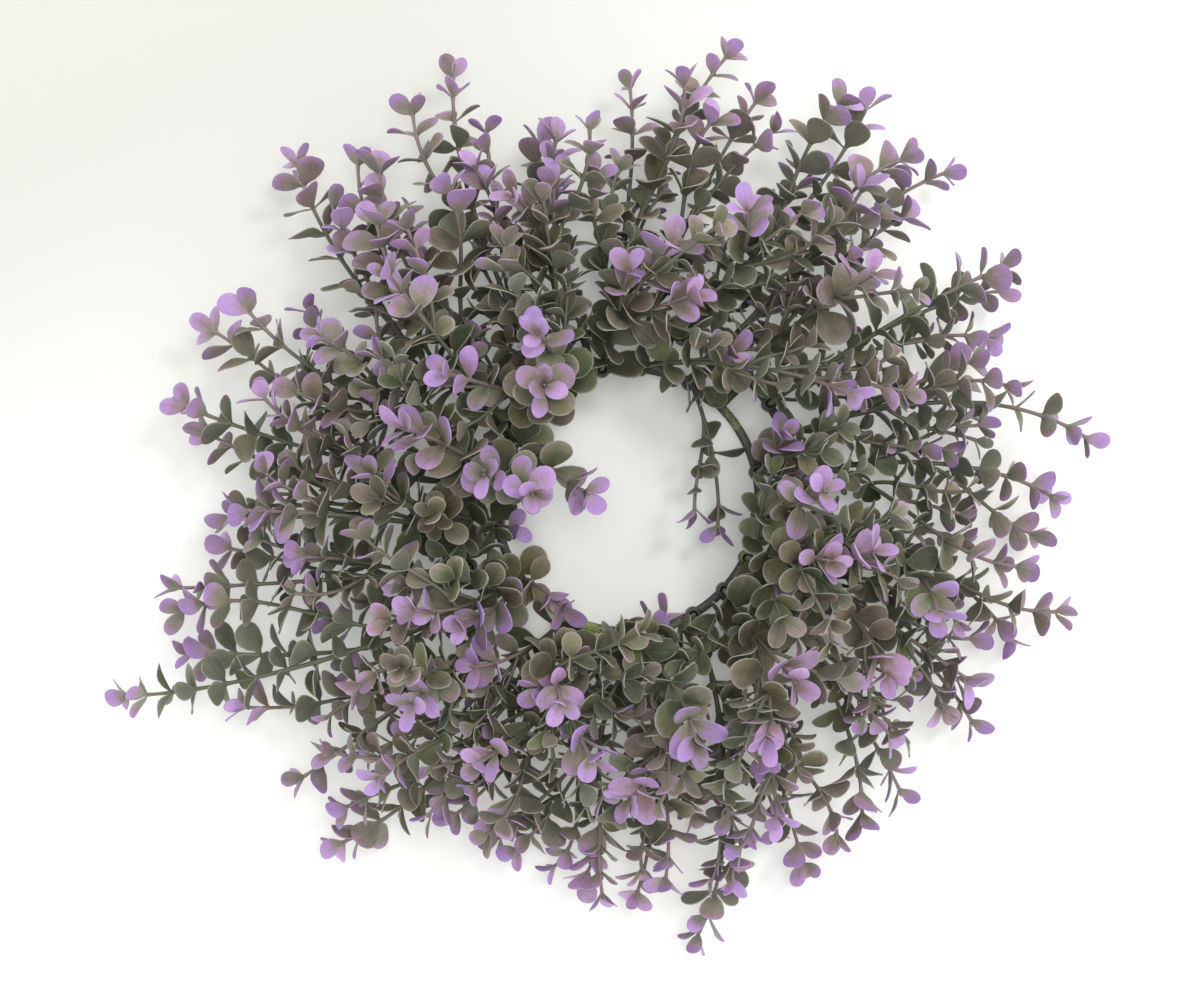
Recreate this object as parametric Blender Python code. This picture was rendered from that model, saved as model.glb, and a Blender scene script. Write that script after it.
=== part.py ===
# Artificial eucalyptus wreath, lying on z = 0 with its leaves up.
# A moulded frame of two hoops carries sockets, and each socket holds one leafy spray.
# Lengths here are in millimetres, and to_mesh turns them into metres.

from functools import partial
import math

import bpy
import numpy as np
from mathutils.bvhtree import BVHTree

MILLIMETRE = 0.001
SEED = 11
UP = np.array((0.0, 0.0, 1.0))

# Frame
HOOP_RADIUS = {"outer": 66.0, "inner": 51.0}
HOOP_WIDTH = 3.4
HOOP_HEIGHT = 3.0
HOOP_STEPS = 36
CROSSBARS = 12
CROSSBAR_WIDTH = 3.0
CROSSBAR_LOW = 0.2
CROSSBAR_TOP = 2.6
SOCKET_RADIUS = 3.8
SOCKET_SIDES = 4
SOCKET_TOP = 9.0
SOCKET_FLOOR = 4.0
INSIDE_HOOP = 1.0
SEAT_GAP = 0.3
HOLE_TOP = SOCKET_TOP + 2.0
SHARP_ANGLE = 30.0

# Stems, as three-sided bars given by the radius of their corners
PLUG_RADIUS = 1.6
FORK_RADIUS = 1.1
TIP_RADIUS = 0.85
TAPER = 0.005
PLUG_BOTTOM = SOCKET_FLOOR + SEAT_GAP
POINT_STEP = 2.0
RING_STEP = 26.0
FORK_RING_FREE = 3.0

# A main stem rises from its socket and arches over, bending aside on its way to the tip. Each bow
# is the most that a seeded draw adds, as a share of the distance.
STRAIGHT_RISE = 6.0
EARLY_RISE = 0.35
LATE_RISE = 0.7
EARLY_ARCH = 0.16
LATE_ARCH = 0.07
BEND_AT = 0.62
SWEEP = 0.09
SIDE_BOW = 0.22
UP_BOW = 0.13

# A fork leaves between the main stem's direction and its own tip's, and arches a little
FORK_ALONG = 0.6
FORK_AIM = 0.8
FORK_PULL = 0.35
FORK_ARCH = 0.04
FORK_SIDE_BOW = 0.24
FORK_UP_BOW = 0.12

# How far the top leaves reach past a stem's end, and how far stems keep from each other
TIP_LEAF_REACH = 6.0
STEM_CLEARANCE = 4.0
FORK_FREE = 24.0
SOCKET_FREE = 10.0

# Whorls of three leaves, counted from each tip downwards
TIP_STUB = 1.5
WHORL_PITCH = (8.0, 9.5, 10.5, 11.5, 12.0)
WHORL_HALF_HEIGHT = 0.8
WHORL_TURN = 60.0
BARE_MAIN = 34.0
BARE_FORK = 9.0
MOST_WHORLS = 12
LEAVES = 3
LEAF_TURN = 360.0 / LEAVES
KEPT_EVERY = 3
LEAF_LENGTH = (10.6, 11.6, 12.2, 12.6, 13.0)
LEAF_TILT = (35.0, 48.0, 55.0, 60.0, 64.0)

# Share of the roll that would lay a leaf's face level, and the lowest and highest draw of each
# leaf's turn, size, tilt and roll about its rule. A shoot's leaves share one more draw of size.
FACING = 0.2
SHOOT_SIZE_DRAW = (0.87, 1.1)
SPIN_DRAW = (-32.0, 32.0)
SIZE_DRAW = (0.84, 1.12)
TILT_DRAW = (-15.0, 15.0)
ROLL_DRAW = (-42.0, 42.0)

# One leaf: outline as (share of its length, half width as a share of its length)
OUTLINE = ((0.45, 0.36), (0.82, 0.39), (1.0, 0.0))
MIDDLE = 0.64
WIDEST = 0.39
ROOT = 0.12
ROOT_HALF_WIDTH = 0.06
CUP = 0.08
CURL = 0.10
LEAF_THICKNESS = 1.1
LEAF_CLEARANCE = 0.35
TRIES = ((0, 1.0), (-16, 1.0), (14, 1.0), (-30, 0.92), (24, 0.9), (-8, 0.8), (16, 0.75))

# Leaves of one whorl meet at their roots, so they are tested against each other beyond them
WHORL_ROOT = 0.35
WHORL_CLEARANCE = 0.1

# Plastic: yellow-green for the frame, and grey-green misted with purple for the sprays
FRAME_COLOUR = (0.22, 0.27, 0.07)
FRAME_ROUGHNESS = 0.5
LEAF_COLOUR = (0.22, 0.2, 0.24)
LEAF_ROUGHNESS = 0.6

# Spaces that stay empty: the hole in the middle, the ring's top and the table. Only a shoot that
# ends within OVER_HOLE of the ring's centre has leaves within HOLE_RADIUS of the hole's.
HOLE_BOXES = (
    ((-24.0, -34.0), (20.0, -12.0)),
    ((-1.0, -12.0), (11.0, 34.0)),
)
HOLE_RADIUS = 44.0
HOLE_CENTRE = (4.0, 0.0)
OVER_HOLE = 54.0
RING_BAND = (46.0, 71.0)
OVER_SOCKETS = 1.5
RING_TOP = SOCKET_TOP + OVER_SOCKETS
LEAF_FLOOR = 0.6

# Sprays: hoop, angle of the socket in degrees, tip of the main shoot, then each fork as its tip
# and how far along the main stem it leaves. Tips are the ends of the top leaves, measured from
# the ring's centre.
SPRAYS = (
    ("outer", 22, (176, 18, 38), ((143, 38, 60), 0.35), ((133, 53, 38), 0.30)),
    ("outer", 9, (165, -3, 30), ((159, -14, 14), 0.60), ((149, -24, 52), 0.25)),
    ("outer", -5, (149, -60, 16), ((166, -41, 30), 0.45), ((110, -45, 72), 0.25)),
    ("outer", -20, (134, -91, 16), ((131, -70, 38), 0.40), ((93, -69, 64), 0.20)),
    ("outer", -35, (106, -117, 20), ((86, -123, 38), 0.50), ((100, -92, 50), 0.30)),
    ("outer", -49, (69, -146, 14), ((77, -132, 38), 0.50), ((53, -120, 62), 0.30)),
    ("outer", -63, (24, -171, 12), ((38, -148, 34), 0.50), ((50, -100, 50), 0.20)),
    ("outer", -77, (1, -157, 16), ((12, -149, 34), 0.45), ((-4, -109, 66), 0.25)),
    ("outer", -91, (-48, -138, 14), ((-20, -147, 26), 0.40), ((-54, -124, 36), 0.50)),
    ("outer", -105, (-70, -122, 28), ((-114, -90, 52), 0.25), ((-58, -96, 64), 0.30)),
    ("outer", -118, (-114, -133, 12), ((-112, -119, 30), 0.60), ((-95, -106, 60), 0.35)),
    ("outer", -131, (-152, -77, 24), ((-127, -107, 30), 0.30), ((-80, -75, 76), 0.20)),
    ("outer", -144, (-197, -74, 20), ((-174, -58, 12), 0.50), ((-171, -44, 34), 0.35)),
    ("outer", -157, (-174, -33, 34), ((-159, -18, 16), 0.50), ((-127, -22, 48), 0.30)),
    ("outer", -171, (-145, -4, 58), ((-155, -10, 18), 0.35), ((-164, 28, 24), 0.30)),
    ("outer", 175, (-172, 38, 30), ((-160, 66, 28), 0.35), ((-135, 42, 60), 0.30)),
    ("outer", 162, (-145, 76, 38), ((-123, 77, 24), 0.40), ((-118, 60, 62), 0.30)),
    ("outer", 149, (-126, 134, 24), ((-112, 114, 38), 0.50), ((-92, 107, 62), 0.30)),
    ("outer", 136, (-100, 133, 32), ((-91, 128, 50), 0.45), ((-69, 118, 56), 0.30)),
    ("outer", 123, (-65, 167, 22), ((-80, 150, 34), 0.45), ((-60, 126, 48), 0.30)),
    ("outer", 110, (-32, 141, 24), ((-25, 139, 40), 0.60), ((-46, 112, 64), 0.30)),
    ("outer", 97, (42, 171, 32), ((0, 162, 22), 0.3), ((19, 160, 48), 0.45), ((-11, 122, 60), 0.2)),
    ("outer", 84, (53, 156, 22), ((36, 144, 46), 0.45), ((59, 140, 38), 0.55)),
    ("outer", 71, (93, 155, 20), ((85, 151, 38), 0.50), ((74, 126, 32), 0.40), ((40, 109, 72), 0.20)),
    ("outer", 58, (127, 126, 20), ((107, 127, 40), 0.45), ((87, 118, 54), 0.40)),
    ("outer", 46, (108, 108, 40), ((91, 83, 74), 0.30)),
    ("outer", 34, (145, 88, 38), ((148, 79, 20), 0.60), ((141, 60, 30), 0.40)),
    ("inner", 118, (-34, 60, 86), ((-27, 121, 56), 0.30)),
    ("inner", 134, (-29, 40, 94), ((-70, 46, 74), 0.30)),
    ("inner", 151, (-9, 0, 60), ((-87, 82, 86), 0.25)),
    ("inner", 169, (-33, 0, 86), ((-53, 8, 80), 0.50), ((-86, 26, 76), 0.30)),
    ("inner", 190, (-39, -11, 26), ((-95, 13, 68), 0.25)),
    ("inner", 214, (-22, -45, 40), ((-82, -37, 70), 0.25), ((-65, -45, 62), 0.30)),
    ("inner", 242, (-62, -60, 52), ((-25, -77, 74), 0.40), ((-10, -97, 72), 0.35)),
    ("inner", 270, (23, -88, 86), ((20, -42, 16), 0.20)),
    ("inner", 300, (-38, -71, 62), ((4, -62, 30), 0.30)),
    ("inner", 334, (74, -22, 84), ((90, -16, 80), 0.45), ((60, -36, 40), 0.30)),
    ("inner", 12, (57, 26, 62), ((70, 12, 22), 0.25)),
    ("inner", 62, (33, -18, 14), ((26, -12, 28), 0.45)),
    ("inner", 84, (83, 34, 78), ((44, 56, 54), 0.25)),
    ("inner", 101, (20, 94, 74), ((3, 88, 66), 0.40), ((27, 76, 72), 0.45)),
    ("inner", 317, (46, -87, 88), ((61, -69, 78), 0.40)),
    ("inner", 353, (70, 5, 84), ((66, -16, 20), 0.20)),
)


def unit(vector):
    return vector / np.linalg.norm(vector)


def turned(angle):
    """The horizontal direction at an angle in degrees."""
    return np.array((math.cos(math.radians(angle)), math.sin(math.radians(angle)), 0.0))


# Routes

def bezier(first, second, third, last):
    """Points about POINT_STEP apart on a cubic Bezier curve."""
    rough = np.linalg.norm(second - first) + np.linalg.norm(third - second) + np.linalg.norm(last - third)
    share = np.linspace(0, 1, math.ceil(rough / POINT_STEP) + 1)[:, None]
    rest = 1 - share
    return (
        rest**3 * first
        + 3 * rest**2 * share * second
        + 3 * rest * share**2 * third
        + share**3 * last
    )


def cut_short(route):
    """The route without its last stretch, which only the top leaves reach."""
    steps = np.linalg.norm(np.diff(route, axis=0), axis=1)
    left = np.append(np.cumsum(steps[::-1])[::-1], 0.0)
    return route[left >= TIP_LEAF_REACH]


def main_route(hoop, angle, tip, bow, shift, lift):
    """Straight up out of the socket, over in an arch, and on to the tip."""
    bottom = turned(angle) * HOOP_RADIUS[hoop] + UP * PLUG_BOTTOM
    mouth = bottom + UP * (SOCKET_TOP - PLUG_BOTTOM)
    across = (tip - mouth) * (1, 1, 0)
    reach = np.linalg.norm(across)
    rise = tip[2] - mouth[2]
    side = np.cross(UP, unit(across))
    second = mouth + UP * (STRAIGHT_RISE + EARLY_RISE * rise + EARLY_ARCH * reach)
    third = mouth + across * BEND_AT + side * ((SWEEP + SIDE_BOW * bow[0]) * reach + shift)
    third = third + UP * (LATE_RISE * rise + (LATE_ARCH + UP_BOW * bow[1]) * reach + lift)
    return np.vstack((bottom, cut_short(bezier(mouth, second, third, tip))))


def fork_index(stem, share):
    """Which of the main stem's points a fork leaves from."""
    return round(share * (len(stem) - 1))


def fork_route(stem, share, tip, bow, shift, lift):
    """Leaves the main stem at a slant and bends away to its own tip."""
    at = fork_index(stem, share)
    start = stem[at]
    along = unit(stem[at + 1] - stem[at - 1])
    span = np.linalg.norm(tip - start)
    side = np.cross(UP, unit((tip - start) * (1, 1, 0)))
    aim = unit(tip - start)
    second = start + unit(along * FORK_ALONG + aim * FORK_AIM) * FORK_PULL * span
    third = tip - aim * FORK_PULL * span + side * (FORK_SIDE_BOW * bow[0] * span + shift)
    third = third + UP * ((FORK_ARCH + FORK_UP_BOW * bow[1]) * span + lift)
    return cut_short(bezier(start, second, third, tip))


def inside_hole(points):
    return any(
        ((points[:, :2] > low) & (points[:, :2] < high)).all(axis=1).any() for low, high in HOLE_BOXES
    )


def apart(points, others):
    """True where no point lies within STEM_CLEARANCE of another stem's points."""
    if not points.size:
        return True
    low = points.min(axis=0) - STEM_CLEARANCE
    high = points.max(axis=0) + STEM_CLEARANCE
    near = others[((others > low) & (others < high)).all(axis=1)]
    gaps = np.linalg.norm(points[:, None] - near[None], axis=2)
    return not near.size or gaps.min() > STEM_CLEARANCE


def route_is_clear(route, own, others):
    """True where the route stays off the ring, out of the hole and away from the other stems."""
    free = route[np.linalg.norm(route - route[0], axis=1) > SOCKET_FREE]
    radius = np.hypot(free[:, 0], free[:, 1])
    low = (radius > RING_BAND[0]) & (radius < RING_BAND[1]) & (free[:, 2] < RING_TOP + PLUG_RADIUS)
    if low.any() or inside_hole(free) or (free[:, 2] < PLUG_BOTTOM).any():
        return False
    return apart(route, others) and apart(route[math.ceil(FORK_FREE / POINT_STEP):], own)


def bends():
    """Sideways shifts and lifts to try, the smallest first."""
    steps = [(shift, lift) for shift in range(-28, 29, 4) for lift in range(-8, 29, 4)]
    return sorted(steps, key=lambda step: (abs(step[0]) + abs(step[1]), step))


def clear_route(make, own, others):
    """The first of the bent routes that is clear, or the straight one if none is."""
    for shift, lift in bends():
        route = make(shift, lift)
        if route_is_clear(route, own, others):
            return route
    print("no clear route to", np.round(make(0, 0)[-1]))
    return make(0, 0)


def bow_of(spray, number):
    """How far a shoot bows sideways and upwards, each drawn from -1 to 1."""
    return np.random.default_rng((SEED, spray, number, 2)).uniform(-1, 1, 2)


def all_routes():
    """For each spray a list of routes: every main stem is placed first, then every fork."""
    nothing = np.zeros((0, 3))
    sprays = []
    for number, (place, angle, tip, *_) in enumerate(SPRAYS):
        others = np.vstack([nothing, *(routes[0] for routes in sprays)])
        make = partial(main_route, place, angle, np.array(tip, float), bow_of(number, 0))
        sprays.append([clear_route(make, nothing, others)])
    for number, routes in enumerate(sprays):
        for tip, share in SPRAYS[number][3:]:
            others = np.vstack([route for other in sprays if other is not routes for route in other])
            bow = bow_of(number, len(routes))
            make = partial(fork_route, routes[0], share, np.array(tip, float), bow)
            routes.append(clear_route(make, np.vstack(routes), others))
    return sprays


# Shoots: a route with the frame that its rings and leaves stand in

class Shoot:
    """A stem along a route, with its whorls and their seeded draws."""

    def __init__(self, route, spray, number, first_side):
        self.points = route
        self.is_main = number == 0
        self.forks = []
        steps = np.linalg.norm(np.diff(route, axis=0), axis=1)
        self.at = np.concatenate(((0.0,), np.cumsum(steps)))
        self.length = self.at[-1]
        self.along = np.array([unit(step) for step in np.gradient(route, self.at, axis=0)])
        if self.is_main:
            self.along[:2] = UP
        side = first_side
        sides = []
        for along in self.along:
            side = unit(side - along * (side @ along))
            sides.append(side)
        self.side = np.array(sides)
        draw = np.random.default_rng((SEED, spray, number))
        first_spin = draw.uniform(0, LEAF_TURN)
        self.spin = first_spin + WHORL_TURN * np.arange(MOST_WHORLS) + draw.uniform(*SPIN_DRAW, MOST_WHORLS)
        self.left_out = draw.integers(0, LEAVES, MOST_WHORLS)
        self.size = draw.uniform(*SIZE_DRAW, (MOST_WHORLS, LEAVES))
        self.tilt = draw.uniform(*TILT_DRAW, (MOST_WHORLS, LEAVES))
        self.roll = draw.uniform(*ROLL_DRAW, (MOST_WHORLS, LEAVES))
        self.size *= np.random.default_rng((SEED, spray, number, 4)).uniform(*SHOOT_SIZE_DRAW)

    def frame(self, at):
        """Point, direction and two sides at a length along the stem."""
        point = np.array([np.interp(at, self.at, self.points[:, i]) for i in range(3)])
        along = unit(np.array([np.interp(at, self.at, self.along[:, i]) for i in range(3)]))
        side = np.array([np.interp(at, self.at, self.side[:, i]) for i in range(3)])
        side = unit(side - along * (side @ along))
        return point, along, side, np.cross(along, side)

    def radius(self, at):
        if self.is_main and at <= self.at[1]:
            return PLUG_RADIUS
        most = PLUG_RADIUS if self.is_main else FORK_RADIUS
        return min(most, TIP_RADIUS + TAPER * (self.length - at))

    def corners(self, at, turn, grow=0.0):
        """The three corners of the stem at a length along it, turned by an angle in degrees."""
        point, _, side, other = self.frame(at)
        angles = np.radians(turn + LEAF_TURN * np.arange(LEAVES))[:, None]
        return list(point + (self.radius(at) + grow) * (np.cos(angles) * side + np.sin(angles) * other))

    def whorls(self):
        """Lengths along the stem of its whorls, the tip's first."""
        bare = BARE_MAIN if self.is_main else BARE_FORK
        at = self.length - TIP_STUB
        found = []
        while at > bare and len(found) < MOST_WHORLS:
            found.append(at)
            at -= WHORL_PITCH[min(len(found) - 1, len(WHORL_PITCH) - 1)]
        return found or [self.length - TIP_STUB]

    def leaf_axes(self, whorl, at, leaf, tilt_change):
        """The leaf's origin, length direction, width direction and upper normal.

        It rolls about its length by its own draw and by a share of what would lay its face level.
        """
        point, along, side, other = self.frame(at)
        azimuth = math.radians(self.spin[whorl] + LEAF_TURN * leaf)
        out = math.cos(azimuth) * side + math.sin(azimuth) * other
        tilt = LEAF_TILT[min(whorl, len(LEAF_TILT) - 1)] + self.tilt[whorl, leaf] + tilt_change
        direction = math.cos(math.radians(tilt)) * along + math.sin(math.radians(tilt)) * out
        width = np.cross(along, out)
        normal = np.cross(direction, width)
        turn_up = math.atan2(width @ UP, normal @ UP)
        turn_up -= math.pi * round(turn_up / math.pi)
        roll = math.radians(self.roll[whorl, leaf]) - FACING * turn_up
        return (
            point,
            direction,
            math.cos(roll) * width + math.sin(roll) * normal,
            math.cos(roll) * normal - math.sin(roll) * width,
        )

    def leaf_length(self, whorl, leaf):
        return LEAF_LENGTH[min(whorl, len(LEAF_LENGTH) - 1)] * self.size[whorl, leaf]


# Leaves

def blade(axes, length, grow=0.0):
    """Rim points from the low side round the tip to the high side, then the top and bottom middles."""
    origin, direction, width, normal = axes
    left = [(share, -half) for share, half in OUTLINE]
    right = [(share, half) for share, half in reversed(OUTLINE[:-1])]

    def place(share, half):
        bend = CUP * (half / WIDEST) ** 2 - CURL * share**2
        return origin + (length + grow) * (direction * share + width * half + normal * bend)

    rim = [place(share, half * (1 + grow / length)) for share, half in left + right]
    middle = place(MIDDLE, 0.0) - normal * CUP / 2 * length
    half_thickness = LEAF_THICKNESS / 2 + grow
    return rim, middle + normal * half_thickness, middle - normal * half_thickness


def test_leaf(axes, length, grow, root):
    """A closed copy of the leaf from a share of its length on, a little larger, for the clearance test."""
    origin, direction, width, normal = axes
    rim, top, bottom = blade(axes, length, grow)
    neck = [
        origin + length * (direction * root + width * ROOT_HALF_WIDTH),
        origin + length * (direction * root - width * ROOT_HALF_WIDTH),
    ]
    points = np.array([*rim, *neck, top, bottom])
    count = len(rim) + len(neck)
    faces = []
    for i in range(count):
        after = (i + 1) % count
        faces += [(count, i, after), (count + 1, after, i)]
    return points, faces


class Taken:
    """Stems and leaves already placed, each as a search tree with its box."""

    def __init__(self):
        self.low = []
        self.high = []
        self.trees = []
        self.owners = []

    def add(self, points, faces, owner):
        self.low.append(points.min(axis=0))
        self.high.append(points.max(axis=0))
        self.trees.append(BVHTree.FromPolygons(points.tolist(), faces))
        self.owners.append(owner)

    def crosses(self, points, faces, owners):
        """True where the shape meets anything that isn't owned by one of the owners."""
        if not self.trees:
            return False
        apart = (np.array(self.low) > points.max(axis=0)) | (np.array(self.high) < points.min(axis=0))
        near = np.flatnonzero(~apart.any(axis=1))
        tree = BVHTree.FromPolygons(points.tolist(), faces)
        return any(self.owners[i] not in owners and tree.overlap(self.trees[i]) for i in near)


def stem_shape(shoot):
    """The stem without its leaves, a little thicker than it is, for the clearance test."""
    points = []
    rings = shoot_rings(shoot)
    for at, turn, _ in rings:
        points += shoot.corners(at, turn, LEAF_CLEARANCE)
    faces = []
    for ring in range(len(rings) - 1):
        for corner in range(3):
            after = (corner + 1) % 3
            faces.append((3 * ring + corner, 3 * ring + after, 3 * ring + 3 + after, 3 * ring + 3 + corner))
    return np.array(points), faces


def leaf_is_clear(points, faces, taken, owners, shoot):
    from_hole = np.hypot(*(points[:, :2] - HOLE_CENTRE).T)
    if from_hole.min() < HOLE_RADIUS and np.hypot(*shoot.points[-1, :2]) > OVER_HOLE:
        return False
    radius = np.hypot(points[:, 0], points[:, 1])
    over_ring = (radius > RING_BAND[0]) & (radius < RING_BAND[1])
    if points[:, 2].min() < LEAF_FLOOR or (points[over_ring, 2] < RING_TOP).any():
        return False
    return not inside_hole(points) and not taken.crosses(points, faces, owners)


def place_leaves(sprays):
    """Each kept leaf by (spray, shoot, whorl, leaf). Only every KEPT_EVERY-th whorl has leaves."""
    taken = Taken()
    for i, shoots in enumerate(sprays):
        for j, shoot in enumerate(shoots):
            taken.add(*stem_shape(shoot), (i, j))
    kept = {}
    for i, shoots in enumerate(sprays):
        for j, shoot in enumerate(shoots):
            for whorl, at in list(enumerate(shoot.whorls()))[::KEPT_EVERY]:
                whorl_taken = Taken()
                for leaf in range(LEAVES):
                    if whorl and leaf == shoot.left_out[whorl]:
                        continue
                    owners = {(i, j), (i, j, whorl)}
                    for tilt_change, scale in TRIES:
                        axes = shoot.leaf_axes(whorl, at, leaf, tilt_change)
                        length = shoot.leaf_length(whorl, leaf) * scale
                        outer, outer_faces = test_leaf(axes, length, WHORL_CLEARANCE, WHORL_ROOT)
                        if whorl_taken.crosses(outer, outer_faces, ()):
                            continue
                        points, faces = test_leaf(axes, length, LEAF_CLEARANCE, ROOT)
                        if leaf_is_clear(points, faces, taken, owners, shoot):
                            taken.add(points, faces, (i, j, whorl))
                            whorl_taken.add(outer, outer_faces, leaf)
                            kept[i, j, whorl, leaf] = (axes, length)
                            break
    return kept


# Meshes

def shoot_rings(shoot):
    """Rings up the stem as (length along it, turn, whorl or None). A whorl has a ring below and above."""
    rings = [(0.0, 0.0, None), (shoot.at[1], 0.0, None)] if shoot.is_main else [(0.0, 0.0, None)]
    whorls = shoot.whorls()
    stops = [(whorls[whorl] - WHORL_HALF_HEIGHT, whorl) for whorl in range(0, len(whorls), KEPT_EVERY)]
    spaces = [at for at, _ in stops]
    stops += [(at, None) for at in shoot.forks if min(abs(at - other) for other in spaces) > FORK_RING_FREE]
    for at, whorl in sorted(stops):
        last_at, turn, _ = rings[-1]
        gaps = math.ceil((at - last_at) / RING_STEP)
        rings += [(last_at + (at - last_at) * gap / gaps, turn, None) for gap in range(1, gaps)]
        if whorl is None:
            rings.append((at, turn, None))
            continue
        wanted = shoot.spin[whorl] - WHORL_TURN
        turn = wanted + LEAF_TURN * round((turn - wanted) / LEAF_TURN)
        rings += [(at, turn, whorl), (at + 2 * WHORL_HALF_HEIGHT, turn, None)]
    return rings


def shoot_mesh(shoot, leaves):
    """One closed mesh: a three-sided stem whose side faces grow into leaves at the whorls."""
    points = []
    faces = []
    rings = shoot_rings(shoot)
    for at, turn, _ in rings:
        points += shoot.corners(at, turn)
    faces.append((2, 1, 0))
    for ring, (_, turn, whorl) in enumerate(rings[:-1]):
        for corner in range(3):
            after = (corner + 1) % 3
            low, low_after = 3 * ring + corner, 3 * ring + after
            high, high_after = low + 3, low_after + 3
            leaf = None
            if whorl is not None:
                turned_by = round((turn + WHORL_TURN - shoot.spin[whorl]) / LEAF_TURN)
                leaf = leaves.get((whorl, (corner + turned_by) % LEAVES))
            if leaf is None:
                faces += [(low, low_after, high_after), (low, high_after, high)]
                continue
            rim, top, _ = blade(*leaf)
            first = len(points)
            points += [*rim, top]
            left, wide_left, tip, wide_right, right, centre = range(first, first + 6)
            above = [high, left, wide_left, tip, wide_right, right, high_after]
            faces += [(centre, here, there) for here, there in zip(above, above[1:] + above[:1])]
            faces += [(low, wide_left, left), (low, tip, wide_left), (low, low_after, tip)]
            faces += [(low_after, wide_right, tip), (low_after, right, wide_right)]
            faces += [(low, left, high), (high_after, right, low_after)]
    last = 3 * len(rings) - 3
    faces.append((last, last + 1, last + 2))
    return points, faces


def to_object(name, points, faces):
    mesh = bpy.data.meshes.new(name)
    mesh.from_pydata([tuple(float(c) * MILLIMETRE for c in point) for point in points], [], faces)
    mesh.validate()
    made = bpy.data.objects.new(name, mesh)
    bpy.context.scene.collection.objects.link(made)
    return made


def material(name, colour, roughness):
    made = bpy.data.materials.new(name)
    made.use_nodes = True
    shader = made.node_tree.nodes["Principled BSDF"]
    shader.inputs["Base Color"].default_value = (*colour, 1)
    shader.inputs["Roughness"].default_value = roughness
    shader.inputs["Metallic"].default_value = 0
    return made


def join_all(target, others, operation):
    """Applies one Boolean of a collection of objects to the target, and removes them."""
    helpers = bpy.data.collections.new("helpers")
    bpy.context.scene.collection.children.link(helpers)
    for other in others:
        bpy.context.scene.collection.objects.unlink(other)
        helpers.objects.link(other)
    boolean = target.modifiers.new("join", "BOOLEAN")
    boolean.operation = operation
    boolean.operand_type = "COLLECTION"
    boolean.collection = helpers
    boolean.solver = "MANIFOLD"
    graph = bpy.context.evaluated_depsgraph_get()
    joined = bpy.data.meshes.new_from_object(target.evaluated_get(graph))
    target.modifiers.clear()
    target.data = joined
    for other in others:
        bpy.data.objects.remove(other)
    bpy.data.collections.remove(helpers)


def prism(name, sides, radius, centre, low, high, turn):
    """An upright prism with its first corner at the turn angle."""
    points = []
    for level in (low, high):
        points += [centre + radius * turned(turn + 360 * i / sides) + UP * level for i in range(sides)]
    faces = [tuple(reversed(range(sides))), tuple(range(sides, 2 * sides))]
    faces += [(i, (i + 1) % sides, sides + (i + 1) % sides, sides + i) for i in range(sides)]
    return to_object(name, points, faces)


def hoop(name, radius):
    """A ring of rectangular section that stands on the table."""
    half = HOOP_WIDTH / 2
    inner, outer = radius - half, radius + half
    profile = ((inner, 0), (outer, 0), (outer, HOOP_HEIGHT), (inner, HOOP_HEIGHT))
    points = [turned(360 * i / HOOP_STEPS) * r + UP * z for i in range(HOOP_STEPS) for r, z in profile]
    faces = []
    for i in range(HOOP_STEPS):
        here, there = 4 * i, 4 * ((i + 1) % HOOP_STEPS)
        for j in range(4):
            after = (j + 1) % 4
            faces.append((here + j, there + j, there + after, here + after))
    return to_object(name, points, faces)


def crossbar(angle):
    """A bar from hoop to hoop, with its ends inside them."""
    out = turned(angle)
    side = turned(angle + 90) * CROSSBAR_WIDTH / 2
    near = out * HOOP_RADIUS["inner"]
    far = out * HOOP_RADIUS["outer"]
    points = []
    for level in (CROSSBAR_LOW, CROSSBAR_TOP):
        points += [corner + UP * level for corner in (near - side, far - side, far + side, near + side)]
    faces = [(3, 2, 1, 0), (4, 5, 6, 7), (0, 1, 5, 4), (1, 2, 6, 5), (2, 3, 7, 6), (3, 0, 4, 7)]
    return to_object("crossbar", points, faces)


def build_frame(plastic):
    """Hoops, cross-bars and socket walls in one, then the socket holes cut out."""
    frame = hoop("wreath_frame", HOOP_RADIUS["outer"])
    added = [hoop("inner_hoop", HOOP_RADIUS["inner"])]
    added += [crossbar(360 * (i + 0.5) / CROSSBARS) for i in range(CROSSBARS)]
    holes = []
    for place, angle, *_ in SPRAYS:
        centre = turned(angle) * HOOP_RADIUS[place]
        added.append(prism("socket", SOCKET_SIDES, SOCKET_RADIUS, centre, INSIDE_HOOP, SOCKET_TOP, angle))
        holes.append(prism("hole", 3, PLUG_RADIUS + 2 * SEAT_GAP, centre, SOCKET_FLOOR, HOLE_TOP, angle))
    join_all(frame, added, "UNION")
    join_all(frame, holes, "DIFFERENCE")
    frame.data.shade_smooth()
    frame.data.set_sharp_from_angle(angle=math.radians(SHARP_ANGLE))
    frame.data.materials.clear()
    frame.data.materials.append(plastic)
    return frame


def build_spray(number, shoots, kept, plastic):
    made = []
    for j, shoot in enumerate(shoots):
        leaves = {key[2:]: leaf for key, leaf in kept.items() if key[:2] == (number, j)}
        made.append(to_object(f"spray_{number + 1:02d}" if j == 0 else "fork", *shoot_mesh(shoot, leaves)))
    if made[1:]:
        join_all(made[0], made[1:], "UNION")
    made[0].data.materials.clear()
    made[0].data.materials.append(plastic)
    return made[0]


def centre_on_origin(objects):
    """Moves every mesh so that the wreath's box is centred on the origin in plan."""
    corners = np.array([vertex.co for item in objects for vertex in item.data.vertices])
    middle = (corners.min(axis=0) + corners.max(axis=0)) / 2
    for item in objects:
        for vertex in item.data.vertices:
            vertex.co.x -= middle[0]
            vertex.co.y -= middle[1]


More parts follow.
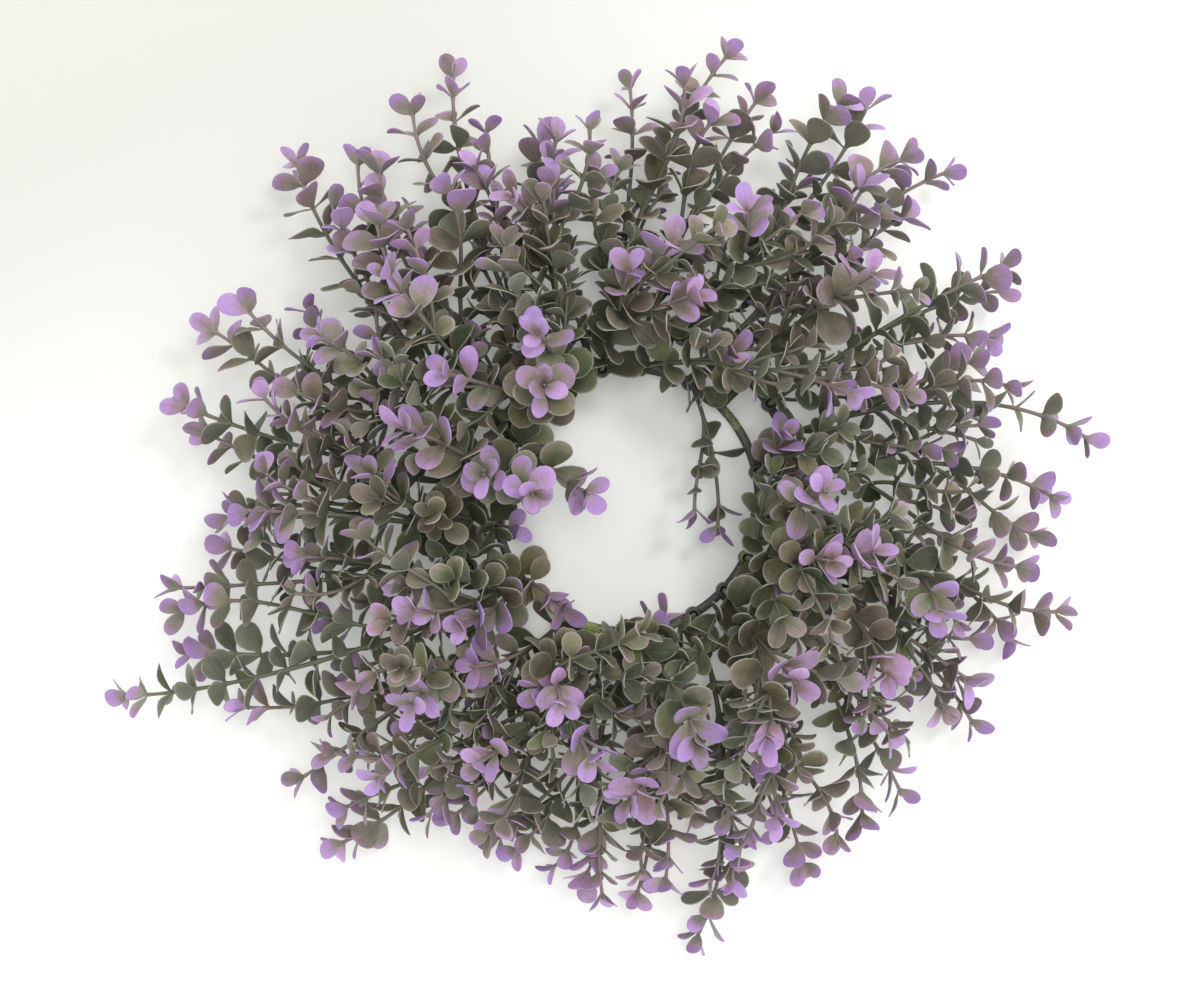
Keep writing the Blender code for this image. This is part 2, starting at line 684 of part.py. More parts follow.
def main():
    for item in list(bpy.data.objects):
        bpy.data.objects.remove(item)
    frame_plastic = material("frame_plastic", FRAME_COLOUR, FRAME_ROUGHNESS)
    leaf_plastic = material("leaf_plastic", LEAF_COLOUR, LEAF_ROUGHNESS)
    sprays = []
    for number, routes in enumerate(all_routes()):
        outwards = turned(SPRAYS[number][1])
        shoots = [Shoot(route, number, j, outwards) for j, route in enumerate(routes)]
        stem = shoots[0]
        stem.forks = [stem.at[fork_index(stem.points, share)] for _, share in SPRAYS[number][3:]]
        sprays.append(shoots)
    kept = place_leaves(sprays)
    objects = [build_frame(frame_plastic)]
    objects += [build_spray(number, shoots, kept, leaf_plastic) for number, shoots in enumerate(sprays)]
    centre_on_origin(objects)
    print("shoots", sum(map(len, sprays)), "leaves", len(kept))


main()
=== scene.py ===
# Artificial eucalyptus wreath: leafy sprays plugged into a moulded ring, lying on a pale table.
# Shapes are worked out in millimetres about the ring's centre, and toMesh puts them in place in metres.
from functools import partial
import math

import bpy
import numpy as np
from mathutils.bvhtree import BVHTree
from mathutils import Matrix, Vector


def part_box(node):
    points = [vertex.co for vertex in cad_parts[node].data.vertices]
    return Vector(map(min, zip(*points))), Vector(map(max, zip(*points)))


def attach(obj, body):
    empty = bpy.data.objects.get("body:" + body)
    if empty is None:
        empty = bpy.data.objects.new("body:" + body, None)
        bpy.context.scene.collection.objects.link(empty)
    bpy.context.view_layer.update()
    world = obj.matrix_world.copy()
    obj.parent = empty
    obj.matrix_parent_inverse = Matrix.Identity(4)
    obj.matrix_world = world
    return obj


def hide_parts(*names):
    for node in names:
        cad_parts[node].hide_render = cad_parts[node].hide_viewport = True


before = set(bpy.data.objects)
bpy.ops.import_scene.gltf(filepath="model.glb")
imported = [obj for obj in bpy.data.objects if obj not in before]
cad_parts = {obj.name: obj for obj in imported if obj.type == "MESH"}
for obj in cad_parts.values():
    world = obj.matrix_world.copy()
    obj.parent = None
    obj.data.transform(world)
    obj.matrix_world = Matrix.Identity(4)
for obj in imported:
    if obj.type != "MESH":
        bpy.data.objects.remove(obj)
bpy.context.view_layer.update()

seed = 11
up = np.array((0.0, 0.0, 1.0))
metres = 0.001
ringLow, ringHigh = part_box("wreath_frame")
ringCentre = (np.array(ringLow) + np.array(ringHigh)) / 2 * (1, 1, 0)

# The moulded ring
ringSizes = {
    "radius": {"outer": 66.0, "inner": 51.0},
    "hoopWidth": 3.4,
    "hoopHeight": 3.0,
    "edgeRound": 0.7,
    "steps": 144,
    "crossbars": 12,
    "crossbarWidth": 3.0,
    "crossbarLow": 0.2,
    "crossbarTop": 2.6,
    "arcSteps": 3,
    "socketRadius": 3.0,
    "socketDraft": 0.25,
    "socketSteps": 20,
    "socketBottom": 1.0,
    "socketStraight": 3.4,
    "socketTop": 9.0,
    "socketFloor": 4.0,
    "outerRim": ((0.0, 0.5), (0.3, 0.1)),  # from the wall and from the top
    "innerRim": ((0.2, 0.1), (0.0, 0.4)),
    "seatGap": 0.3,
    "leafRoom": 1.5,
    "sharpAngle": 35.0,
}

# Stems: a main one arches out of its socket, and forks leave it at a slant
stemSizes = {
    "plugRadius": 1.6,
    "forkRadius": 1.1,
    "tipRadius": 0.85,
    "taper": 0.005,
    "pointStep": 2.0,
    "ringStep": 26.0,
    "forkRingFree": 3.0,
    "straightRise": 6.0,
    "earlyRise": 0.35,
    "lateRise": 0.7,
    "earlyArch": 0.16,
    "lateArch": 0.07,
    "bendAt": 0.62,
    "sweep": 0.09,
    "sideBow": 0.22,
    "upBow": 0.13,
    "forkAlong": 0.6,
    "forkAim": 0.8,
    "forkPull": 0.35,
    "forkArch": 0.04,
    "forkSideBow": 0.24,
    "forkUpBow": 0.12,
    "tipLeafReach": 6.0,
    "clearance": 4.0,
    "forkFree": 24.0,
    "socketFree": 10.0,
    "socketSlack": 0.1,
    "mostShift": 28,
    "leastLift": -8,
    "mostLift": 28,
    "bendStep": 4,
}
plugBottom = ringSizes["socketFloor"] + ringSizes["seatGap"]
greatestHeight = 94.0

# Whorls of three leaves, counted from each tip downwards
whorlSizes = {
    "tipStub": 1.5,
    "pitch": (8.0, 9.5, 10.5, 11.5, 12.0),
    "halfHeight": 0.8,
    "turn": 60.0,
    "bareMain": 34.0,
    "bareFork": 9.0,
    "most": 12,
    "leaves": 3,
    "leafTurn": 120.0,
    "solidEvery": 3,
    "leafLength": (10.6, 11.6, 12.2, 12.6, 13.0),
    "leafTilt": (35.0, 48.0, 55.0, 60.0, 64.0),
    "shootSizeDraw": (0.87, 1.1),
    "spinDraw": (-32.0, 32.0),
    "sizeDraw": (0.84, 1.12),
    "tiltDraw": (-15.0, 15.0),
    "rollDraw": (-42.0, 42.0),
}

# The leaf as the solids have it, used to find its place. Each try is a change of tilt, a change of
# turn and a scale.
solidLeaf = {
    "outline": ((0.45, 0.36), (0.82, 0.39), (1.0, 0.0)),
    "middle": 0.64,
    "widest": 0.39,
    "root": 0.12,
    "rootHalfWidth": 0.06,
    "cup": 0.08,
    "curl": 0.10,
    "thickness": 1.1,
    "facing": 0.2,
    "clearance": 0.35,
    "tries": (
        (0, 0, 1.0), (-16, 0, 1.0), (14, 0, 1.0), (-30, 0, 0.92), (24, 0, 0.9), (-8, 0, 0.8),
        (16, 0, 0.75),
    ),
    "whorlRoot": 0.35,
    "whorlClearance": 0.1,
}

# Spaces that stay empty: the hole in the middle, the ring's top and the table. Only a shoot that
# ends within overHole of the ring's centre has leaves within holeRadius of the hole's.
holeBoxes = (((-24.0, -34.0), (20.0, -12.0)), ((-1.0, -12.0), (11.0, 34.0)))
holeRadius = 44.0
holeCentre = (4.0, 0.0)
overHole = 54.0
ringBand = (46.0, 71.0)
ringTop = ringSizes["socketTop"] + ringSizes["leafRoom"]
leafFloor = 0.6

# Sprays by hoop: angle of the socket, tip of the main shoot, then each fork as its tip and how far
# along the main stem it leaves. Tips are the ends of the top leaves.
hoopSprays = {
    "outer": (
        (22, (176, 18, 38), (143, 38, 60, 0.35), (133, 53, 38, 0.30)),
        (9, (165, -3, 30), (159, -14, 14, 0.60), (149, -24, 52, 0.25)),
        (-5, (149, -60, 16), (166, -41, 30, 0.45), (110, -45, 72, 0.25)),
        (-20, (134, -91, 16), (131, -70, 38, 0.40), (93, -69, 64, 0.20)),
        (-35, (106, -117, 20), (86, -123, 38, 0.50), (100, -92, 50, 0.30)),
        (-49, (69, -146, 14), (77, -132, 38, 0.50), (53, -120, 62, 0.30)),
        (-63, (24, -171, 12), (38, -148, 34, 0.50), (50, -100, 50, 0.20)),
        (-77, (1, -157, 16), (12, -149, 34, 0.45), (-4, -109, 66, 0.25)),
        (-91, (-48, -138, 14), (-20, -147, 26, 0.40), (-54, -124, 36, 0.50)),
        (-105, (-70, -122, 28), (-114, -90, 52, 0.25), (-58, -96, 64, 0.30)),
        (-118, (-114, -133, 12), (-112, -119, 30, 0.60), (-95, -106, 60, 0.35)),
        (-131, (-152, -77, 24), (-127, -107, 30, 0.30), (-80, -75, 76, 0.20)),
        (-144, (-197, -74, 20), (-174, -58, 12, 0.50), (-171, -44, 34, 0.35)),
        (-157, (-174, -33, 34), (-159, -18, 16, 0.50), (-127, -22, 48, 0.30)),
        (-171, (-145, -4, 58), (-155, -10, 18, 0.35), (-164, 28, 24, 0.30)),
        (175, (-172, 38, 30), (-160, 66, 28, 0.35), (-135, 42, 60, 0.30)),
        (162, (-145, 76, 38), (-123, 77, 24, 0.40), (-118, 60, 62, 0.30)),
        (149, (-126, 134, 24), (-112, 114, 38, 0.50), (-92, 107, 62, 0.30)),
        (136, (-100, 133, 32), (-91, 128, 50, 0.45), (-69, 118, 56, 0.30)),
        (123, (-65, 167, 22), (-80, 150, 34, 0.45), (-60, 126, 48, 0.30)),
        (110, (-32, 141, 24), (-25, 139, 40, 0.60), (-46, 112, 64, 0.30)),
        (97, (42, 171, 32), (0, 162, 22, 0.3), (19, 160, 48, 0.45), (-11, 122, 60, 0.2)),
        (84, (53, 156, 22), (36, 144, 46, 0.45), (59, 140, 38, 0.55)),
        (71, (93, 155, 20), (85, 151, 38, 0.50), (74, 126, 32, 0.40), (40, 109, 72, 0.20)),
        (58, (127, 126, 20), (107, 127, 40, 0.45), (87, 118, 54, 0.40)),
        (46, (108, 108, 40), (91, 83, 74, 0.30)),
        (34, (145, 88, 38), (148, 79, 20, 0.60), (141, 60, 30, 0.40)),
    ),
    "inner": (
        (118, (-34, 60, 86), (-27, 121, 56, 0.30)),
        (134, (-29, 40, 94), (-70, 46, 74, 0.30)),
        (151, (-9, 0, 60), (-87, 82, 86, 0.25)),
        (169, (-33, 0, 86), (-53, 8, 80, 0.50), (-86, 26, 76, 0.30)),
        (190, (-39, -11, 26), (-95, 13, 68, 0.25)),
        (214, (-22, -45, 40), (-82, -37, 70, 0.25), (-65, -45, 62, 0.30)),
        (242, (-62, -60, 52), (-25, -77, 74, 0.40), (-10, -97, 72, 0.35)),
        (270, (23, -88, 86), (20, -42, 16, 0.20)),
        (300, (-38, -71, 62), (4, -62, 30, 0.30)),
        (334, (74, -22, 84), (90, -16, 80, 0.45), (60, -36, 40, 0.30)),
        (12, (57, 26, 62), (70, 12, 22, 0.25)),
        (62, (33, -18, 14), (26, -12, 28, 0.45)),
        (84, (83, 34, 78), (44, 56, 54, 0.25)),
        (101, (20, 94, 74), (3, 88, 66, 0.40), (27, 76, 72, 0.45)),
        (317, (46, -87, 88), (61, -69, 78, 0.40)),
        (353, (70, 5, 84), (66, -16, 20, 0.20)),
    ),
}
sprayRows = [(hoop, *row) for hoop, rows in hoopSprays.items() for row in rows]


# Routes of the stems

def unit(vector):
    # The vector over its own length
    return vector / np.linalg.norm(vector, axis=-1, keepdims=True)


def turned(angle):
    # (cos a, sin a, 0) for an angle in degrees
    angle = np.radians(angle)
    return np.stack((np.cos(angle), np.sin(angle), 0 * angle), axis=-1)


def bezier(first, second, third, last):
    # Cubic Bezier curve, with a point about every pointStep
    rough = np.linalg.norm(second - first) + np.linalg.norm(third - second) + np.linalg.norm(last - third)
    share = np.linspace(0, 1, math.ceil(rough / stemSizes["pointStep"]) + 1)[:, None]
    rest = 1 - share
    return (
        rest**3 * first
        + 3 * rest**2 * share * second
        + 3 * rest * share**2 * third
        + share**3 * last
    )


def cutShort(route):
    # The route without its last stretch, which only the top leaves reach
    steps = np.linalg.norm(np.diff(route, axis=0), axis=1)
    left = np.append(np.cumsum(steps[::-1])[::-1], 0.0)
    return route[left >= stemSizes["tipLeafReach"]]


def mainRoute(hoop, angle, tip, bow, shift, lift):
    # Straight up out of the socket, over in an arch, and on to the tip
    s = stemSizes
    bottom = turned(angle) * ringSizes["radius"][hoop] + up * plugBottom
    mouth = bottom + up * (ringSizes["socketTop"] - plugBottom)
    across = (tip - mouth) * (1, 1, 0)
    reach = np.linalg.norm(across)
    rise = tip[2] - mouth[2]
    side = np.cross(up, unit(across))
    second = mouth + up * (s["straightRise"] + s["earlyRise"] * rise + s["earlyArch"] * reach)
    third = mouth + across * s["bendAt"] + side * ((s["sweep"] + s["sideBow"] * bow[0]) * reach + shift)
    third = third + up * (s["lateRise"] * rise + (s["lateArch"] + s["upBow"] * bow[1]) * reach + lift)
    return np.vstack((bottom, cutShort(bezier(mouth, second, third, tip))))


def forkIndex(stem, share):
    # Which of the main stem's points a fork leaves from
    return round(share * (len(stem) - 1))


def forkRoute(stem, share, tip, bow, shift, lift):
    # Leaves the main stem at a slant and bends away to its own tip
    s = stemSizes
    at = forkIndex(stem, share)
    start = stem[at]
    along = unit(stem[at + 1] - stem[at - 1])
    span = np.linalg.norm(tip - start)
    side = np.cross(up, unit((tip - start) * (1, 1, 0)))
    aim = unit(tip - start)
    second = start + unit(along * s["forkAlong"] + aim * s["forkAim"]) * s["forkPull"] * span
    third = tip - aim * s["forkPull"] * span + side * (s["forkSideBow"] * bow[0] * span + shift)
    third = third + up * ((s["forkArch"] + s["forkUpBow"] * bow[1]) * span + lift)
    return cutShort(bezier(start, second, third, tip))


def outFrom(points, centre=(0.0, 0.0)):
    # Distance of each point from an upright axis: sqrt(x^2 + y^2)
    return np.hypot(points[..., 0] - centre[0], points[..., 1] - centre[1])


def insideHole(points):
    # True where one of the points is in a box that stays empty
    return any(
        ((points[:, :2] > low) & (points[:, :2] < high)).all(axis=1).any() for low, high in holeBoxes
    )


def touchesRing(points, top):
    # True where one of the points over the ring is lower than top
    radius = outFrom(points)
    overRing = (radius > ringBand[0]) & (radius < ringBand[1])
    return (points[overRing, 2] < top).any()


def apart(points, others, gap):
    # True where each point is farther than the gap from all the others
    if not points.size:
        return True
    low = points.min(axis=0) - gap
    high = points.max(axis=0) + gap
    near = others[((others > low) & (others < high)).all(axis=1)]
    gaps = np.linalg.norm(points[:, None] - near[None], axis=2)
    return not near.size or gaps.min() > gap


def routeIsClear(route, own, others):
    # True where the route stays off the ring, out of the hole and away from the other stems
    s = stemSizes
    free = route[np.linalg.norm(route - route[0], axis=1) > s["socketFree"]]
    if touchesRing(free, ringTop + s["plugRadius"]) or insideHole(free) or (free[:, 2] < plugBottom).any():
        return False
    ownStart = math.ceil(s["forkFree"] / s["pointStep"])
    return apart(route, others, s["clearance"]) and apart(route[ownStart:], own, s["clearance"])


def bends():
    # Sideways shifts and lifts to try, the smallest first
    s = stemSizes
    shifts = range(-s["mostShift"], s["mostShift"] + 1, s["bendStep"])
    lifts = range(s["leastLift"], s["mostLift"] + 1, s["bendStep"])
    tries = [(shift, lift) for shift in shifts for lift in lifts]
    return sorted(tries, key=lambda bend: (abs(bend[0]) + abs(bend[1]), bend))


def clearRoute(make, own, others):
    # The first of the bent routes that is clear
    for shift, lift in bends():
        route = make(shift, lift)
        if routeIsClear(route, own, others):
            return route
    print("no clear route")
    return make(0, 0)


def bowOf(spray, number):
    # How far this shoot bows sideways and upwards, each from -1 to 1
    return np.random.default_rng((seed, spray, number, 2)).uniform(-1, 1, 2)


def allRoutes():
    # For each spray a list of routes: every main stem is placed first, then every fork
    nothing = np.zeros((0, 3))
    sprays = []
    for number, (hoop, angle, tip, *_) in enumerate(sprayRows):
        others = np.vstack([nothing, *(routes[0] for routes in sprays)])
        make = partial(mainRoute, hoop, angle, np.array(tip, float), bowOf(number, 0))
        sprays.append([clearRoute(make, nothing, others)])
    for number, routes in enumerate(sprays):
        for *tip, share in sprayRows[number][3:]:
            others = np.vstack([route for other in sprays if other is not routes for route in other])
            bow = bowOf(number, len(routes))
            make = partial(forkRoute, routes[0], share, np.array(tip, float), bow)
            routes.append(clearRoute(make, np.vstack(routes), others))
    return sprays


# Shoots

class Shoot:
    # A stem's route, the frame that its leaves stand in, and a draw for each whorl and leaf
    def __init__(self, route, spray, number, firstSide):
        self.points = route
        self.isMain = number == 0
        self.forks = []
        self.leafShare = 1.0
        self.mistMost = 1.0
        steps = np.linalg.norm(np.diff(route, axis=0), axis=1)
        self.at = np.concatenate(((0.0,), np.cumsum(steps)))
        self.length = self.at[-1]
        self.along = unit(np.gradient(route, self.at, axis=0))
        if self.isMain:
            self.along[:2] = up
        side = firstSide
        sides = []
        for along in self.along:
            side = unit(side - along * (side @ along))
            sides.append(side)
        self.side = np.array(sides)
        w = whorlSizes
        draw = np.random.default_rng((seed, spray, number))
        firstSpin = draw.uniform(0, w["leafTurn"])
        later = w["turn"] * np.arange(w["most"])
        self.spin = firstSpin + later + draw.uniform(*w["spinDraw"], w["most"])
        self.leftOut = draw.integers(0, w["leaves"], w["most"])
        upper = self.leafDraws(draw)
        # The whorls below those that the solids have are drawn from a row of their own
        draw = np.random.default_rng((seed, spray, number, 1))
        later = w["turn"] * np.arange(1, w["most"] + 1) + draw.uniform(*w["spinDraw"], w["most"])
        self.spin = np.append(self.spin, self.spin[-1] + later)
        self.size, self.tilt, self.roll = map(np.vstack, zip(upper, self.leafDraws(draw)))
        self.size *= np.random.default_rng((seed, spray, number, 4)).uniform(*w["shootSizeDraw"])

    def leafDraws(self, draw):
        # The size, tilt and roll of each leaf of as many whorls as the solids have at most
        w = whorlSizes
        shape = (w["most"], w["leaves"])
        return [draw.uniform(*w[key], shape) for key in ("sizeDraw", "tiltDraw", "rollDraw")]

    def frameAt(self, at):
        # Point, direction and two sides at lengths along the stem
        def read(values):
            # Each part of the vector, read off evenly between the route's points
            return np.stack([np.interp(at, self.at, values[:, i]) for i in range(3)], axis=-1)

        along = unit(read(self.along))
        side = read(self.side)
        side = unit(side - along * (side * along).sum(axis=-1, keepdims=True))
        return read(self.points), along, side, np.cross(along, side)

    def radiusAt(self, at):
        # Radius of the corners of the solid's three-sided stem: the plug's in the socket, and from
        # there a taper that ends in the tip's
        s = stemSizes
        most = s["plugRadius"] if self.isMain else s["forkRadius"]
        radius = np.minimum(most, s["tipRadius"] + s["taper"] * (self.length - at))
        inSocket = self.isMain & (at <= self.at[1] + s["socketSlack"])
        return np.where(inSocket, s["plugRadius"], radius)

    def corners(self, at, turn, grow):
        # The three corners of the solid stem, turned by an angle in degrees
        point, _, side, other = self.frameAt(at)
        angles = np.radians(turn + whorlSizes["leafTurn"] * np.arange(3))[:, None]
        return point + (self.radiusAt(at) + grow) * (np.cos(angles) * side + np.sin(angles) * other)

    def whorls(self, sizes):
        # Lengths along the stem of its whorls, the tip's first, down to where it is bare
        pitch = whorlSizes["pitch"]
        bare = sizes["bareMain"] if self.isMain else sizes["bareFork"]
        at = self.length - whorlSizes["tipStub"]
        found = []
        while at > bare and len(found) < sizes["most"]:
            found.append(at)
            at -= pitch[min(len(found) - 1, len(pitch) - 1)]
        return found or [self.length - whorlSizes["tipStub"]]

    def leafAxes(self, whorl, at, leaf, tiltChange, spinChange, facing):
        # The leaf's origin, length direction, width direction and upper normal. It rolls by its own
        # draw, and by a share of the angle that would lay its face level.
        w = whorlSizes
        point, along, side, other = self.frameAt(at)
        azimuth = math.radians(self.spin[whorl] + w["leafTurn"] * leaf + spinChange)
        out = math.cos(azimuth) * side + math.sin(azimuth) * other
        tilt = w["leafTilt"][min(whorl, len(w["leafTilt"]) - 1)] + self.tilt[whorl, leaf] + tiltChange
        direction = math.cos(math.radians(tilt)) * along + math.sin(math.radians(tilt)) * out
        width = np.cross(along, out)
        normal = np.cross(direction, width)
        turnUp = math.atan2(width @ up, normal @ up)
        turnUp -= math.pi * round(turnUp / math.pi)
        roll = math.radians(self.roll[whorl, leaf]) - facing * turnUp
        return (
            point,
            direction,
            math.cos(roll) * width + math.sin(roll) * normal,
            math.cos(roll) * normal - math.sin(roll) * width,
        )

    def leafLength(self, whorl, leaf):
        # The usual length at that whorl times the leaf's own size and the shoot's share
        lengths = whorlSizes["leafLength"]
        return lengths[min(whorl, len(lengths) - 1)] * self.size[whorl, leaf] * self.leafShare


# Finding each leaf's place

def solidRings(shoot):
    # The solid stem's rings as (length along it, turn)
    w = whorlSizes
    rings = [(0.0, 0.0), (shoot.at[1], 0.0)] if shoot.isMain else [(0.0, 0.0)]
    whorls = shoot.whorls(whorlSizes)
    stops = [(whorls[i] - w["halfHeight"], i) for i in range(0, len(whorls), w["solidEvery"])]
    spaces = [at for at, _ in stops]
    free = stemSizes["forkRingFree"]
    stops += [(at, None) for at in shoot.forks if min(abs(at - other) for other in spaces) > free]
    for at, whorl in sorted(stops):
        lastAt, turn = rings[-1]
        gaps = math.ceil((at - lastAt) / stemSizes["ringStep"])
        rings += [(lastAt + (at - lastAt) * gap / gaps, turn) for gap in range(1, gaps)]
        if whorl is None:
            rings.append((at, turn))
            continue
        wanted = shoot.spin[whorl] - w["turn"]
        turn = wanted + w["leafTurn"] * round((turn - wanted) / w["leafTurn"])
        rings += [(at, turn), (at + 2 * w["halfHeight"], turn)]
    return rings


def stemShape(shoot):
    # The solid stem, a little thicker than it is
    rings = [shoot.corners(at, turn, solidLeaf["clearance"]) for at, turn in solidRings(shoot)]
    return np.vstack(rings), gridFaces(len(rings), 3, True).tolist()


def leafShape(axes, length, grow, root):
    # A closed copy of the solids' leaf from a share of its length on, larger by grow
    f = solidLeaf
    origin, direction, width, normal = axes
    left = [(share, -half) for share, half in f["outline"]]
    right = [(share, half) for share, half in reversed(f["outline"][:-1])]

    def place(share, half):
        # A point of the rim: the cup lifts it by the square of its side, the curl drops it by share^2
        bend = f["cup"] * (half / f["widest"]) ** 2 - f["curl"] * share**2
        return origin + (length + grow) * (direction * share + width * half + normal * bend)

    rim = [place(share, half * (1 + grow / length)) for share, half in left + right]
    middle = place(f["middle"], 0.0) - normal * f["cup"] / 2 * length
    halfThickness = f["thickness"] / 2 + grow
    neck = [
        origin + length * (direction * root + width * f["rootHalfWidth"]),
        origin + length * (direction * root - width * f["rootHalfWidth"]),
    ]
    points = np.array([*rim, *neck, middle + normal * halfThickness, middle - normal * halfThickness])
    count = len(rim) + len(neck)
    faces = []
    for i in range(count):
        after = (i + 1) % count
        faces += [(count, i, after), (count + 1, after, i)]
    return points, faces


class Taken:
    # Stems and leaves already placed, each as a search tree with its box, and the leaves of each whorl
    def __init__(self):
        self.low = []
        self.high = []
        self.trees = []
        self.owners = []
        self.whorls = {}

    def add(self, points, faces, owner):
        # Takes the shape's place for its owner
        self.low.append(points.min(axis=0))
        self.high.append(points.max(axis=0))
        self.trees.append(BVHTree.FromPolygons(points.tolist(), faces))
        self.owners.append(owner)

    def crosses(self, points, faces, owners):
        # True where the shape cuts into one that belongs to none of these owners
        if not self.trees:
            return False
        clear = (np.array(self.low) > points.max(axis=0)) | (np.array(self.high) < points.min(axis=0))
        near = np.flatnonzero(~clear.any(axis=1))
        tree = BVHTree.FromPolygons(points.tolist(), faces)
        return any(self.owners[i] not in owners and tree.overlap(self.trees[i]) for i in near)


def leafIsClear(points, faces, taken, owners, shoot):
    # True where the leaf stays above the table, off the ring, out of the hole and clear of the rest
    overHoleShoot = outFrom(shoot.points[-1]) <= overHole
    if not overHoleShoot and outFrom(points, holeCentre).min() < holeRadius:
        return False
    if points[:, 2].min() < leafFloor or touchesRing(points, ringTop) or insideHole(points):
        return False
    return not taken.crosses(points, faces, owners)


def placeLeaf(axes, length, clearance, taken, whorl, shoot):
    # Takes the leaf's place if it is clear. Leaves of one whorl meet at their roots, so they are
    # tested against each other beyond them.
    f = solidLeaf
    whorlTaken = taken.whorls.setdefault(whorl, Taken())
    outer = leafShape(axes, length, f["whorlClearance"], f["whorlRoot"])
    if whorlTaken.crosses(*outer, ()):
        return False
    whole = leafShape(axes, length, clearance, f["root"])
    if not leafIsClear(*whole, taken, {whorl[:2], whorl}, shoot):
        return False
    taken.add(*whole, whorl)
    whorlTaken.add(*outer, whorl)
    return True


def tryLeaf(shoot, key, at, sizes, share, taken, placed):
    # Places the leaf with the first of the tries that leaves it clear. The key is its spray, shoot,
    # whorl and own number.
    *_, whorl, leaf = key
    for tiltChange, spinChange, scale in sizes["tries"]:
        axes = shoot.leafAxes(whorl, at, leaf, tiltChange, spinChange, sizes["facing"])
        length = shoot.leafLength(whorl, leaf) * scale * share
        if placeLeaf(axes, length, sizes["clearance"], taken, key[:3], shoot):
            placed[key] = (axes, length, at)
            return


def placeSolidLeaves(sprays, taken):
    # The leaves that the solids have, in the solids' order
    placed = {}
    for i, shoots in enumerate(sprays):
        for j, shoot in enumerate(shoots):
            taken.add(*stemShape(shoot), (i, j))
    for i, shoots in enumerate(sprays):
        for j, shoot in enumerate(shoots):
            for whorl, at in list(enumerate(shoot.whorls(whorlSizes)))[:: whorlSizes["solidEvery"]]:
                for leaf in range(whorlSizes["leaves"]):
                    if not whorl or leaf != shoot.leftOut[whorl]:
                        tryLeaf(shoot, (i, j, whorl, leaf), at, solidLeaf, 1.0, taken, placed)
    return placed


# Side twigs, which only the scene has: short ones that grow out between a whorl's leaves
twigSizes = {
    "firstWhorl": 2,
    "length": (22.0, 44.0),
    "slant": (30.0, 55.0),
    "turns": (60, 180, 300),
    "alongShare": 0.6,
    "pulls": (0.4, 0.7),
    "level": (1.0, 1.0, 0.4),
    "lift": (-0.35, 0.2),
    "bow": (-0.3, 0.3),
    "rootFree": 7.0,
    "clearance": 2.2,
    "reach": 148.0,
    "low": 5.0,
    "high": 86.0,
    "leafShare": 0.84,
    "kept": ((0.0, 1.0), (94.0, 1.0), (106.0, 0.55), (120.0, 0.16), (135.0, 0.05)),
    "mistedFrom": 50.0,
    "mistedOver": 115.0,
    "mistDraw": (-0.3, 0.3),
}


def twigRoute(shoot, at, azimuth, draw):
    # Leaves the stem at a slant between its direction and a side, and bends back along it
    t = twigSizes
    start, along, side, other = shoot.frameAt(at)
    out = math.cos(azimuth) * side + math.sin(azimuth) * other
    length = draw.uniform(*t["length"])
    slant = math.radians(draw.uniform(*t["slant"]))
    first = math.cos(slant) * along + math.sin(slant) * out
    aim = unit((first + t["alongShare"] * along) * t["level"] + draw.uniform(*t["lift"]) * up)
    bow = np.cross(first, up) * draw.uniform(*t["bow"]) * length
    near, far = t["pulls"]
    second = start + first * near * length
    third = start + aim * far * length + bow
    return bezier(start, second, third, start + aim * length)


def twigIsClear(twig, others, taken, owners):
    # True where the twig stays within reach, out of the hole and clear of all stems and leaves
    t = twigSizes
    free = twig.points[twig.at > t["rootFree"]]
    if outFrom(free).max() > t["reach"] or free[:, 2].min() < t["low"] or free[:, 2].max() > t["high"]:
        return False
    if insideHole(free) or outFrom(free, holeCentre).min() < holeRadius:
        return False
    return apart(free, others, t["clearance"]) and not taken.crosses(*stemShape(twig), owners)


def growTwigs(sprays, taken):
    # Up to one twig at a whorl, on the first of its three sides that is clear, and fewer further out
    t = twigSizes
    others = np.vstack([shoot.points for shoots in sprays for shoot in shoots])
    for i, shoots in enumerate(sprays):
        for j, shoot in list(enumerate(shoots)):
            if outFrom(shoot.points[-1]) < overHole:
                continue
            draw = np.random.default_rng((seed, i, j, 3))
            for whorl, at in list(enumerate(shoot.whorls(moreLeaves)))[t["firstWhorl"] :]:
                kept = np.interp(outFrom(shoot.frameAt(at)[0]), *zip(*t["kept"]))
                if draw.uniform() > kept:
                    continue
                for turn in t["turns"]:
                    route = twigRoute(shoot, at, math.radians(shoot.spin[whorl] + turn), draw)
                    number = len(shoots)
                    twig = Shoot(route, i, number, shoot.side[0])
                    twig.leafShare = t["leafShare"]
                    outwards = (outFrom(route[-1]) - t["mistedFrom"]) / t["mistedOver"]
                    twig.mistMost = min(max(outwards + draw.uniform(*t["mistDraw"]), 0), 1)
                    if twigIsClear(twig, others, taken, {(i, j), (i, j, whorl)}):
                        shoots.append(twig)
                        taken.add(*stemShape(twig), (i, number))
                        others = np.vstack((others, twig.points))
                        break


